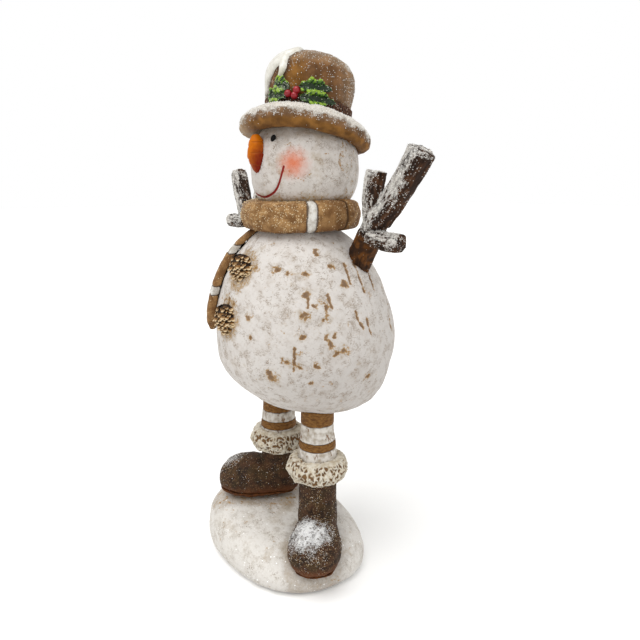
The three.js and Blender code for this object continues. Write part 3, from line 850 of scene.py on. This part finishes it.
def snow_field(at):
    """How far each point is inside the outline of the snow, in millimetres."""
    turn = turn_of(at, (0, 5))
    above = (at[:, 2] - snow_edge(turn)) * 0.85
    behind = (at[:, :2] - SNOW_CORNER) @ [math.cos(SNOW_BACK), math.sin(SNOW_BACK)]
    field = np.minimum(above, behind)
    drip = np.full(len(at), -9.0)
    flat = np.stack([turn * 0.5, at[:, 2], np.zeros(len(at))], 1)
    for share in np.linspace(0, 1, 9):
        sway = DRIP["turn"] + DRIP["sway"] * math.sin(math.pi * share)
        bead = (sway * 0.5, DRIP["top"] + (DRIP["low"] - DRIP["top"]) * share, 0)
        wide = DRIP["wide"] + (DRIP["tip"] - DRIP["wide"]) * share
        drip = np.maximum(drip, wide - np.linalg.norm(flat - bead, axis=1))
    return np.maximum(field, drip) + 0.5 * cloud(at, 5, 3, seed=91)


# %% Hat skins
BRIM_REACH = 48.0  # from the hat's axis to the rim
brim = skin("hat_brim_felt", ["hat_brim"], 0.95, 24)
at, out = read(brim, "co"), upright(read(brim, "normal"))
own = upright(at - hat_hub)
rim_share = np.hypot(own[:, 0], own[:, 1]) / BRIM_REACH
patchy = cloud(at, 6, 4, seed=71)
brim_turn = turn_of(own, (0, 0))
frost_brim = 0.68 * rise(out[:, 2] + 0.4 * patchy, -0.6, 0.5)
frost_brim += 0.22 * rise(out[:, 2] + 0.8 * patchy, -0.6, 0.4)
frost_brim = np.clip(frost_brim * rise(rim_share, 0.62, 0.8), 0, 1)
ochre = rise(-out[:, 2] + 0.2 * patchy, 0.15, 0.6)
pale_end = 1 - rise(np.abs(brim_turn + 38), 15, 45)
press(brim, 0.4 + 0.6 * cloud(at, 18, 2, seed=72) + 0.25 * cloud(at, 4, 3, seed=73) + 0.25 * frost_brim)
shade = 0.5 * rise(cloud(at, 9, 3, seed=74), -0.2, 0.6) + 0.5 * rise(-out[:, 2], 0.55, 0.95)
dusty = 0.3 * rise(out[:, 2], -0.6, 0.4) + 1.3 * pale_end
leave(brim, frost=frost_brim, ochre=ochre, shade=shade, dusty=dusty)

crown = skin("hat_crown_felt", ["hat_crown"], 0.92, 30)
at, out = read(crown, "co"), upright(read(crown, "normal"))
crown_turn = turn_of(at, (0, 5))
frost_crown = 0.35 * rise(out[:, 2] + 0.5 * cloud(at, 7, 4, seed=75), 0.3, 1.0)
frost_crown += 0.3 * rise(crown_turn, 95, 130) * (1 - rise(crown_turn, 135, 178)) + 0.16
brush_marks = cloud(at, 5, 3, (1, 1, 4), 77)
press(crown, 0.3 + 0.5 * cloud(at, 14, 2, seed=78) + 0.18 * cloud(at, 3.5, 3, seed=79) + 0.12 * brush_marks)
ochre = 0.9 * (1 - rise(np.abs(crown_turn - 34), 10, 24)) + 0.35 * rise(cloud(at, 11, 2, seed=70), 0.0, 0.5)
dusty = 0.5 * rise(crown_turn, 85, 125) * (1 - rise(crown_turn, 130, 178)) + 0.6 * rise(out[:, 2], 0.25, 0.8)
beside_snow = np.exp(-((snow_field(at) / 2.4) ** 2))
shade = 0.6 * rise(brush_marks, -0.2, 0.8) + 1.5 * beside_snow
ochre = np.clip(ochre - beside_snow, 0, 1)
leave(crown, frost=np.clip(frost_crown, 0, 1), ochre=ochre, shade=shade, dusty=dusty)

band = skin("hat_band_ribbon", ["hat_band"], 0.7, 7)
at = read(band, "co")
own = upright(at - hat_hub)
around = turn_of(own, (0, 0))
ribs = np.sin(np.radians(around) * 85) * rise(np.hypot(own[:, 0], own[:, 1]), 29, 30.5)
press(band, 0.2 + 0.3 * ribs + 0.45 * cloud(at, 3, 3, seed=81))
leave(band, ribs=ribs)


def felt_finish():
    paint = Finish("hat_felt_paint", Specular_IOR_Level=0.25)
    fuzz = paint.cloud(0.9, 3)
    tone = paint.cloud(6, 5)
    colour = paint.blend(tone, (0.3, 0.7), (88, 58, 30), (126, 88, 52))
    golden = paint.blend(tone, (0.35, 0.65), (108, 70, 20), (146, 100, 40))
    colour = paint.mix(paint.mark("ochre") * 0.85, colour, golden)
    colour = paint.coat(colour, paint.mark("shade") * 0.6, 62, 38, 16)
    colour = paint.coat(colour, paint.mark("dusty") * (0.2 + fuzz * 0.6), 176, 158, 134)
    dust = paint.frosting("frost")
    colour = paint.coat(colour, dust * 0.85, 226, 221, 212)
    return paint.wear(colour, 0.78 - dust * 0.15, (fuzz, 0.25), (dust, 0.3))


def ribbon_finish():
    paint = Finish("ribbon_paint", Specular_IOR_Level=0.25)
    grain = paint.cloud(1.2, 3)
    colour = paint.blend(grain + paint.mark("ribs") * 0.25, (0.3, 0.8), (42, 22, 12), (98, 62, 40))
    colour = paint.coat(colour, paint.sparks(1.0, 0.16) * 0.8, 214, 198, 180)
    return paint.wear(colour, 0.65, (grain, 0.3))


felt_material = felt_finish()
dress(brim, felt_material)
dress(crown, felt_material)
dress(band, ribbon_finish())

# %% [markdown]
# ## Snow on the hat
# Wet snow lies over the front of the crown and runs down in a drip beside the holly. It is
# thicker and glossier than the painted snow. It is grown from the crown's own skin: each point
# gets a depth, which depends on how far inside the snow's outline it is, and the patch is
# closed underneath. The edge rounds over because the depth follows a quarter circle.

# %% Snow cap
def grow_snow(host, name, nodes):
    """A closed layer of snow on the part of a host's skin where the field is positive."""
    at, out = read(host, "co"), read(host, "normal")
    field = snow_field(at)
    outward = upright(out)[:, 2] > -0.3
    inside = 1 - np.clip(field / 3.2, 0, 1)
    depth = 2.9 * np.sqrt(1 - inside**2) + 0.35 * cloud(at, 7, 3, seed=92) * rise(field, 0.5, 3) - 0.5
    own = upright(at - hat_hub)
    outside = np.hypot(own[:, 0], own[:, 1]) > 24
    keep = (field > -0.8) & outward & (outside | (own[:, 2] > 30))
    polygons = [list(f.vertices) for f in host.data.polygons if keep[list(f.vertices)].all()]
    used = sorted({v for face in polygons for v in face})
    new = {old: k for k, old in enumerate(used)}
    count = len(used)
    top = at[used] + out[used] * depth[used, None]
    under = at[used] - out[used] * 0.9
    faces = [[new[v] for v in face] for face in polygons]
    edges = {edge: True for face in faces for edge in zip(face, face[1:] + face[:1])}
    rim = [(a, b) for a, b in edges if (b, a) not in edges]
    closed = faces + [[v + count for v in reversed(face)] for face in faces]
    closed += [[b, a, a + count, b + count] for a, b in rim]
    piece = link_piece(name, as_mesh(name, np.concatenate([top, under]), closed), nodes)
    print(name, len(closed), "faces")
    return piece


cap = grow_snow(crown, "hat_snow_cap_skin", ["hat_snow_cap"])
at = read(cap, "co")
low_down = 1 - rise(at[:, 2] + 2 * cloud(at, 4, 2, seed=93), 374, 386)
leave(cap, thin=0.8 * low_down * (1 - rise(np.abs(turn_of(at, (0, 5)) - 14), 9, 22)))


def wet_snow_finish():
    paint = Finish("wet_snow_paint", Specular_IOR_Level=0.4, Coat_Weight=0.4, Coat_Roughness=0.2)
    tone = paint.cloud(4, 3)
    colour = paint.blend(tone, (0.3, 0.7), (232, 230, 222), (214, 210, 198))
    colour = paint.coat(colour, paint.mark("thin") * paint.rise(tone, 0.3, 0.6) * 0.6, 190, 184, 118)
    return paint.wear(colour, 0.35 + tone * 0.15, (tone, 0.4))


dress(cap, wet_snow_finish())

# %% [markdown]
# ## Holly
# A sprig of holly is glued over the ribbon: four glossy leaves and three berries. A leaf has a
# raised midrib with veins and a raised edge. Its green is painted light: lighter on the edge and
# where the leaf faces up, darker along the midrib and veins, with a painted yellow-green
# highlight. The midrib is found from the CAD leaf itself, as the long axis of its points.

# %% Leaves and berries
leaves = []
for k in range(1, 5):
    leaf = skin(f"holly_leaf_{k}_blade", [f"holly_leaf_{k}"], 0.32, 7)
    at, out = read(leaf, "co"), read(leaf, "normal")
    spread = at - at.mean(0)
    long, across, thick = np.linalg.svd(spread, full_matrices=False)[2]
    along, aside = spread @ long, np.abs(spread @ across)
    front = rise(out @ (thick * np.sign(thick @ upright([at.mean(0) - hat_hub])[0])), 0.0, 0.5)
    rib = 1 - rise(aside, 0.25, 0.9)
    vein = (1 - rise(np.abs(((along - 0.9 * aside) % 3.2) - 1.6), 0.25, 0.8)) * rise(aside, 0.4, 1.2)
    edge = rise(aside, 1.2, 3.4)
    lump = cloud(at, 2.8, 2, seed=100 + k)
    press(leaf, 0.25 + front * (0.9 * edge - 0.4 * rib - 0.45 * vein) + 0.35 * lump)
    # Painted light: lighter on the edge and where the leaf faces up, darker in the midrib and veins.
    light = 0.55 * edge + 0.9 * rise(out[:, 2], -0.3, 0.7) + 0.5 * lump - 0.7 * vein - 0.5 * rib
    frost = (0.32 if k < 3 else 0.1) + 0.3 * rise(cloud(at, 4, 3, seed=104 + k), 0.1, 0.7)
    leave(leaf, light=np.clip(light, 0, 1), frost=np.clip(frost, 0, 1))
    leaves.append(leaf)


def holly_finish():
    paint = Finish("holly_enamel", Specular_IOR_Level=0.3, Coat_Weight=0.15, Coat_Roughness=0.25)
    tone = paint.cloud(1.8, 3)
    # Painted light from the mark, and a painted yellow-green highlight where it is lightest.
    light = paint.mark("light") + tone * 0.5 - 0.25
    colour = paint.blend(light, (0.05, 0.5), (18, 40, 10), (58, 98, 20))
    colour = paint.coat(colour, paint.rise(light, 0.45, 0.95), 136, 168, 44)
    dust = paint.frosting("frost")
    colour = paint.coat(colour, dust * 0.8, 196, 206, 170)
    return paint.wear(colour, 0.4 + dust * 0.3, (tone, 0.2))


def berry_finish():
    paint = Finish("berry_enamel", Specular_IOR_Level=0.4, Coat_Weight=0.3, Coat_Roughness=0.15)
    tone = paint.cloud(1.8, 2)
    return paint.wear(paint.mix(tone, tint(112, 6, 20), tint(176, 20, 36)), 0.3 + tone * 0.1)


holly_material = holly_finish()
for leaf in leaves:
    dress(leaf, holly_material)
berry_material = berry_finish()
for k in range(1, 4):
    node = f"holly_berry_{k}"
    low, high = box_mm(node)
    size = max(high - low) / 2
    points, faces = ellipsoid((low + high) / 2, np.full(3, size), 24, 16)
    navel = np.linalg.norm(points - ((low + high) / 2 + size * np.array([0.35, -0.85, -0.3])), axis=1)
    points += ((low + high) / 2 - points) * (0.12 * (1 - rise(navel, 0, 0.9)))[:, None]
    dress(link_piece(node + "_enamel", as_mesh(node, points, faces), [node]), berry_material)

# %% [markdown]
# ## Twig arms
# Each arm is a forked stick: a trunk, a long branch, a short inner branch and a sawn stub, cast
# in one. So one skin covers all four, which also fills their forks. Bark runs along the wood,
# so its noise is stretched along each stick's own axis. Frost has blown in from the front right
# and sits on that side and on the sawn ends.

# %% Arm skins
BLOWN = np.array([-0.52, -0.62, 0.58])


def stick_axis(node):
    """The two ends of a stick, from the long axis of its CAD points."""
    co = np.array([v.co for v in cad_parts[node].data.vertices]) / MM
    middle = co.mean(0)
    axis = np.linalg.svd(co - middle, full_matrices=False)[2][0]
    along = (co - middle) @ axis
    ends = middle + axis * along.min(), middle + axis * along.max()
    return ends if axis[2] > 0 else ends[::-1]


def arm(side):
    nodes = [f"arm_{side}_{part}" for part in ("trunk", "branch", "inner", "stub")]
    piece = skin(f"arm_{side}_bark", nodes, 0.76, 9, 0.2)
    at, out = read(piece, "co"), read(piece, "normal")
    distance, grain_place = np.full(len(at), 1e9), at.copy()
    outward_end = np.zeros(len(at))
    for node in nodes:
        start, end = stick_axis(node)
        if node.endswith("stub") and abs(end[0]) < abs(start[0]):
            start, end = end, start
        axis = (end - start) / np.linalg.norm(end - start)
        away = reach(at, [start, end])
        mine = away < distance
        distance[mine] = away[mine]
        along = (at - start) @ axis
        stretched = at - start - along[:, None] * axis * 0.84
        grain_place[mine] = stretched[mine]
        outward_end[mine] = (rise(out @ axis, 0.6, 0.9))[mine] * (not node.endswith("trunk"))
    bark = cloud(grain_place, 2.6, 3, seed=111)
    furrow = veins(grain_place, 4.2, 112, width=0.13)
    knots = cloud(at, 9, 2, seed=113)
    start, end = stick_axis(nodes[0])
    clear = rise(np.linalg.norm(at - start, axis=1), 26, 40)
    lit = out @ BLOWN
    crust = rise(lit + 0.5 * cloud(at, 5, 3, seed=114), -0.75, 0.8)
    frost = (0.72 * crust + 0.12 * bark + 0.1) * clear
    tips = rise(at[:, 2], np.quantile(at[:, 2], 0.8), at[:, 2].max()) + outward_end
    frost += 0.4 * np.clip(tips, 0, 1) * rise(cloud(at, 3, 3, seed=115), -0.4, 0.5)
    frost = np.clip(frost + 0.25 * bark - 0.5 * furrow, 0, 0.85)
    press(piece, 0.1 + 0.35 * bark - 0.5 * furrow + 0.45 * knots - 0.3 * outward_end)
    leave(piece, frost=frost, furrow=furrow, warm=1 - clear, bark=bark)
    return piece, frost


def bark_finish():
    paint = Finish("bark_paint", Specular_IOR_Level=0.2)
    tone = paint.cloud(5, 4)
    fine = paint.cloud(1.1, 4)
    colour = paint.blend(paint.mark("bark") * 0.5 + tone, (0.25, 0.85), (40, 24, 14), (84, 54, 32))
    warm = paint.blend(tone, (0.35, 0.65), (50, 28, 10), (98, 58, 18))
    colour = paint.mix(paint.rise(paint.mark("warm") + tone * 0.6 - 0.3, 0.2, 0.8), colour, warm)
    colour = paint.coat(colour, paint.mark("furrow") * 0.55, 26, 16, 9)
    dust = paint.frosting("frost")
    colour = paint.coat(colour, dust * 0.92, 222, 218, 211)
    return paint.wear(colour, 0.75, (fine, 0.3), (dust, 0.35))


bark_material = bark_finish()
arms = {}
for side in ("left", "right"):
    arms[side] = arm(side)
    dress(arms[side][0], bark_material)

# %% [markdown]
# ## Stockings and fur cuffs
# A stocking is a straight tube with brown bands, each between two engraved lines. The fur cuff
# is fleece modelled with a ball tool: pits of 2 or 3 mm with wandering walls between them. The
# walls are ridged noise, and the wash fills the pits.

# %% Legs and cuffs
# Each stocking's two brown bands, as heights above the ground.
STRIPES = {"left": ((107.7, 113.8), (127.2, 139)), "right": ((105.8, 112.3), (120.5, 132))}


def stocking(side):
    piece = skin(f"stocking_{side}_knit", [f"stocking_leg_{side}"], 0.75, 11)
    at = read(piece, "co")
    height = at[:, 2] + 0.35 * cloud(at, 6, 2, seed=121)
    dyed, line = np.zeros(len(at)), np.zeros(len(at))
    for low, high in STRIPES[side]:
        above, below = rise(height, low - 0.3, low + 0.3), 1 - rise(height, high - 0.3, high + 0.3)
        dyed = np.maximum(dyed, above * below)
        for edge in (low, high):
            line = np.maximum(line, np.exp(-(((height - edge) / 0.6) ** 2)))
    streak = veins(at, 4, 123, (1, 1, 5), 0.12) * patches(at, 6, 0.45, 124)
    press(piece, 0.15 + 0.2 * cloud(at, 5, 3, seed=122) - 0.55 * line - 0.2 * streak + 0.15 * dyed)
    leave(piece, dyed=dyed, line=line, streak=streak)
    return piece


def stocking_finish():
    paint = Finish("stocking_paint", Specular_IOR_Level=0.2)
    tone = paint.cloud(4, 4)
    white = paint.blend(tone, (0.35, 0.7), (214, 209, 202), (164, 152, 136))
    white = paint.coat(white, paint.mark("streak") * 0.85, 112, 78, 40)
    brown = paint.blend(paint.cloud(3, 4, (1, 1, 0.4)), (0.3, 0.7), (92, 58, 22), (134, 94, 46))
    colour = paint.mix(paint.rise(paint.mark("dyed"), 0.4, 0.6), white, brown)
    colour = paint.coat(colour, paint.rise(paint.mark("line"), 0.45, 0.95) * 0.8, 48, 30, 14)
    return paint.wear(colour, 0.66, (paint.cloud(1.0, 3), 0.2))


def fur_cuff(side):
    piece = skin(f"fur_cuff_{side}_fleece", [f"fur_cuff_{side}"], 0.6, 12)
    at, out = read(piece, "co"), read(piece, "normal")
    wall = 1 - np.abs(cloud(at, 2.9, 2, (1, 1, 1.5), 131)) * 3.0
    pit = (1 - rise(wall, -0.1, 0.8)) * rise(-out[:, 2] + 0.4 * cloud(at, 8, 2, seed=130), -1.3, -0.3)
    press(piece, 0.75 + 0.5 * cloud(at, 6, 2, seed=132) - 1.5 * pit)
    leave(piece, pit=pit)
    return piece


def fleece_finish():
    paint = Finish("fleece_paint", Specular_IOR_Level=0.3)
    tone = paint.cloud(3, 4)
    colour = paint.blend(tone, (0.3, 0.7), (220, 214, 200), (190, 176, 152))
    brown = paint.rise(paint.mark("pit") + tone * 0.5 - 0.25, 0.3, 0.85)
    colour = paint.mix(brown * 0.95, colour, paint.mix(tone, tint(70, 42, 12), tint(132, 94, 48)))
    return paint.wear(colour, 0.75, (paint.cloud(1.1, 3), 0.3))


stocking_material, fleece_material = stocking_finish(), fleece_finish()
for side in ("left", "right"):
    dress(stocking(side), stocking_material)
    dress(fur_cuff(side), fleece_material)

# %% [markdown]
# ## Boots
# Soft leather boots with round toes. The toe of each is thick with frost, which thins out in
# specks over the instep; the rest is dark brown with glitter, and the welt over the snow is
# rubbed with a red ochre.

# %% Boot skins
# How far from the top of the toe the frost is whole, and where it ends.
TOE_SIZE = {"left": (3.0, 27.0), "right": (1.0, 19.0)}


def boot(side):
    piece = skin(f"boot_{side}_leather", [f"boot_{side}"], 0.9, 21)
    at, out = read(piece, "co"), read(piece, "normal")
    low, high = box_mm(f"boot_{side}")
    tip_x = high[0] if side == "left" else low[0]
    toe = np.array([tip_x + (-18.5 if side == "left" else 15), low[1] + 14.5, 0.0])
    column = np.hypot(at[:, 0] - toe[0], at[:, 1] - toe[1])
    toe[2] = at[column < 4][:, 2].max()
    near, far = TOE_SIZE[side]
    frost = 1 - rise(np.linalg.norm(at - toe, axis=1) + 4 * cloud(at, 7, 3, seed=141), near, far)
    frost = frost * rise(out[:, 2], -0.4, 0.2) * (0.95 if side == "left" else 0.7)
    frost *= 1 - 0.4 * veins(at, 3.2, 140, width=0.09)
    dusting = rise(cloud(at, 9, 3, seed=147), -0.8, 0.6) * rise(out[:, 2], -0.8, 0.2)
    frost = 0.8 * frost + (0.28 if side == "left" else 0.12) * dusting
    welt = 1 - rise(at[:, 2] + 2 * cloud(at, 6, 2, seed=142), low[2] + 1, low[2] + 11)
    press(piece, 0.35 + 0.5 * cloud(at, 13, 2, seed=143) + 0.2 * cloud(at, 4, 3, seed=144) + 0.3 * frost)
    leave(piece, frost=frost, welt=welt, dull=rise(cloud(at, 10, 3, seed=145), -0.3, 0.6))
    dress(piece, boot_material)
    return piece, frost


def boot_finish():
    paint = Finish("boot_paint", Specular_IOR_Level=0.2)
    tone = paint.cloud(6, 4)
    fine = paint.cloud(1.0, 4)
    colour = paint.blend(tone, (0.3, 0.7), (32, 20, 12), (72, 46, 28))
    colour = paint.coat(colour, paint.mark("dull") * 0.5, 60, 46, 22)
    colour = paint.coat(colour, paint.mark("welt") * 0.7, 104, 54, 20)
    colour = paint.coat(colour, paint.sparks(0.9, 0.22, 0.5) * 0.5, 142, 118, 86)
    colour = paint.coat(colour, paint.rise(fine, 0.5, 0.75) * 0.5, 112, 84, 54)
    dust = paint.frosting("frost")
    grit = paint.blend(paint.mark("frost"), (0.25, 0.6), (182, 154, 116), (226, 226, 226))
    colour = paint.mix(dust * 0.95, colour, grit)
    return paint.wear(colour, 0.7, (fine, 0.3), (dust, 0.35))


def sole_finish():
    paint = Finish("sole_paint", Specular_IOR_Level=0.2)
    tone = paint.cloud(3, 4)
    colour = paint.blend(tone, (0.3, 0.7), (62, 32, 12), (104, 60, 24))
    return paint.wear(colour, 0.7, (tone, 0.3))


boot_material, sole_material = boot_finish(), sole_finish()
boots = {}
for side in ("left", "right"):
    boots[side] = boot(side)
    sole = skin(f"boot_sole_{side}_welt", [f"boot_sole_{side}"], 0.8, 6)
    at = read(sole, "co")
    press(sole, 0.1 + 0.35 * cloud(at, 5, 3, seed=146))
    dress(sole, sole_material)

# %% [markdown]
# ## Snow mound
# The base is one smooth pillow of painted snow, calmer than the belly, with fine glitter. The
# wash has collected along the boots, so the brown marks are strongest close to the soles. Beside
# the boots the snow also gets painted shade.

# %% Mound
mound = skin("snow_mound_skin", ["snow_mound_base"], 1.4, 88)
at, out = read(mound, "co"), read(mound, "normal")
upper = rise(at[:, 2], 2.0, 9.0)
closeness = np.full(len(at), 1e9)
for side in ("left", "right"):
    sole_low, sole_high = box_mm(f"boot_sole_{side}")
    heel = [sole_low[0] + 14, sole_high[1] - 14, sole_low[2]]
    toe = [sole_high[0] - 16, sole_low[1] + 16, sole_low[2]]
    if side == "right":
        heel, toe = [sole_high[0] - 14, heel[1], heel[2]], [sole_low[0] + 16, toe[1], toe[2]]
    flat = np.array([1, 1, 0.3])
    closeness = np.minimum(closeness, reach(at * flat, [heel * flat, toe * flat]))
beside = 1 - rise(closeness + 4 * cloud(at, 8, 3, seed=151), 17, 27)
scuff = patches(at, 6, 0.03, 152)
strokes = beside * rise(cloud(at, 3.2, 3, (1, 1, 4), 158), -0.05, 0.45) * (1 - rise(at[:, 0], -22, -8))
lumps = 0.9 * cloud(at, 34, 2, seed=153) + 0.25 * cloud(at, 9, 3, seed=154)
press(mound, (0.5 + lumps - 0.3 * scuff) * upper)
# Painted shade beside the boots: a beige veil and a grey, with soft clouds of veil elsewhere.
veil = 0.6 * beside + 0.65 * rise(cloud(at, 18, 4, seed=155), 0.0, 0.8) * rise(out[:, 2], 0.1, 0.8)
leave(mound, brown=0.4 * scuff + 0.45 * strokes, veil=veil, dusk=0.3 * beside)
paint, colour, rough, bumps = snow_finish("base_snow_paint", (216, 212, 206), (196, 190, 181), 0.25, 0.035)
dress(mound, paint.wear(colour, rough, *bumps))

# %% [markdown]
# ## Frost and glitter
# Frost is real grains: coarse white sand and flakes of glitter, blown on while the paint was
# wet. Each grain is a tiny flattened crystal with eight faces, turned at random, so some catch
# the lamp. The grains of one place are joined in one mesh, thickest where the frost mark is.

# %% Grains
CRYSTAL = np.array([[1, 0, 0], [-1, 0, 0], [0, 1, 0], [0, -1, 0], [0, 0, 0.6], [0, 0, -0.6]])
UPPER_FACES = [[0, 2, 4], [2, 1, 4], [1, 3, 4], [3, 0, 4]]
LOWER_FACES = [[2, 0, 5], [1, 2, 5], [3, 1, 5], [0, 3, 5]]
CRYSTAL_FACES = np.array(UPPER_FACES + LOWER_FACES)


def sprinkle(name, host, weight, count, size, seed, material):
    """Joins `count` crystals, each about `size` across, thrown on a piece by weight."""
    dice = np.random.default_rng(seed)
    at, out = read(host, "co"), read(host, "normal")
    weight = np.clip(weight, 0, None)
    chosen = dice.choice(len(at), count, p=weight / weight.sum())
    one = dice.normal(size=(count, 3))
    one /= np.linalg.norm(one, axis=1)[:, None]
    two = np.cross(one, dice.normal(size=(count, 3)))
    two /= np.linalg.norm(two, axis=1)[:, None]
    three = np.cross(one, two)
    radius = size / 2 * dice.uniform(0.6, 1.3, count)
    jitter = dice.normal(scale=0.35, size=(count, 3))
    centre = at[chosen] + jitter - out[chosen] * (jitter * out[chosen]).sum(1)[:, None]
    centre += out[chosen] * radius[:, None] * 0.35
    axes = np.stack([one, two, three], 1)
    points = centre[:, None] + np.einsum("kj,njd->nkd", CRYSTAL, axes) * radius[:, None, None]
    faces = (CRYSTAL_FACES[None] + 6 * np.arange(count)[:, None, None]).reshape(-1, 3)
    mesh = bpy.data.meshes.new(name)
    mesh.from_pydata((points.reshape(-1, 3) * MM).tolist(), [], faces.tolist())
    piece = link_piece(name, mesh)
    piece.data.materials.append(material)
    print(name, count, "grains")
    return piece


def grain_finish(name, light, dark, **constants):
    paint = Finish(name, **constants)
    tone = paint.cloud(1.0, 2)
    return paint.wear(paint.mix(paint.rise(tone, 0.35, 0.65), tint(*light), tint(*dark)), 0.3 + tone * 0.2)


frost_material = grain_finish("frost_grains", (250, 250, 248), (222, 220, 214), Specular_IOR_Level=0.6)
gold_material = grain_finish("gold_glitter", (250, 232, 190), (214, 184, 128), Metallic=0.6)


def frosted(name, host, weight, count, size, seed):
    return sprinkle(name, host, weight, count, size, seed, frost_material)


def evenly(host):
    return np.ones(len(host.data.vertices))


frosted("frost_on_brim", brim, frost_brim**2 + 0.01, 2600, 0.7, 1)
frosted("glitter_on_crown", crown, 0.1 + frost_crown, 900, 0.6, 2)
frosted("glitter_on_band", band, evenly(band), 350, 0.6, 3)
for k, leaf in enumerate(leaves):
    frosted(f"frost_on_leaf_{k + 1}", leaf, evenly(leaf), 40, 0.6, 4 + k)
sprinkle("glitter_on_scarf", wrap, scarf_gold**2, 1100, 0.7, 10, gold_material)
for k, side in enumerate(("left", "right")):
    twig, frost = arms[side]
    frosted(f"frost_on_arm_{side}", twig, frost**2, 1300, 0.7, 12 + k)
    shoe, frost = boots[side]
    frosted(f"frost_on_boot_{side}", shoe, frost**2 + 0.002, 1500 - 700 * k, 0.5, 14 + k)
sprinkle("glitter_on_mound", mound, upper, 900, 0.6, 16, frost_material)

# %% [markdown]
# ## Floor
# A pale floor carries the figure and reaches far behind it, so that it ends in the same white
# as the world. It isn't part of the object.

# %% Floor
floor_mesh = bpy.data.meshes.new("floor")
FLOOR = 9.0
corners = [(-FLOOR, -FLOOR, 0), (FLOOR, -FLOOR, 0), (FLOOR, FLOOR, 0), (-FLOOR, FLOOR, 0)]
floor_mesh.from_pydata(corners, [], [(0, 1, 2, 3)])
floor = bpy.data.objects.new("floor", floor_mesh)
bpy.context.scene.collection.objects.link(floor)
floor.location.z = cad_box[0].z - 0.0002
floor_paint = Finish("pale_floor", Specular_IOR_Level=0.1)
speck = floor_paint.cloud(400, 2)
pale = floor_paint.mix(speck, tint(245, 245, 244), tint(243, 243, 242))
floor_mesh.materials.append(floor_paint.wear(pale, 0.95))
# The camera alone sees the floor a little lit from below, like the lit table of a packshot.
seen = floor_paint.node("ShaderNodeLightPath", out="Is Camera Ray")
glow = floor_paint.mix(seen, tint(0, 0, 0), tint(255, 255, 255))
floor_paint.plug(glow, floor_paint.shader.inputs["Emission Color"])
floor_paint.shader.inputs["Emission Strength"].default_value = 0.12
floor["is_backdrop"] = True

# %% [markdown]
# ## The size
# Both boxes, the CAD model's and the visual model's, are kept and printed with the number of
# shown pieces and their faces. The visual model has to stay in the space that the CAD model
# takes, so both boxes are kept.

# %% Finish
seen_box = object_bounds()
sizes = {"cad": [list(corner) for corner in cad_box], "visual": [list(corner) for corner in seen_box]}
faces = sum(len(p.data.polygons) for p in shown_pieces())
print("pieces", len(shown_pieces()), "faces", faces, "size", sizes)
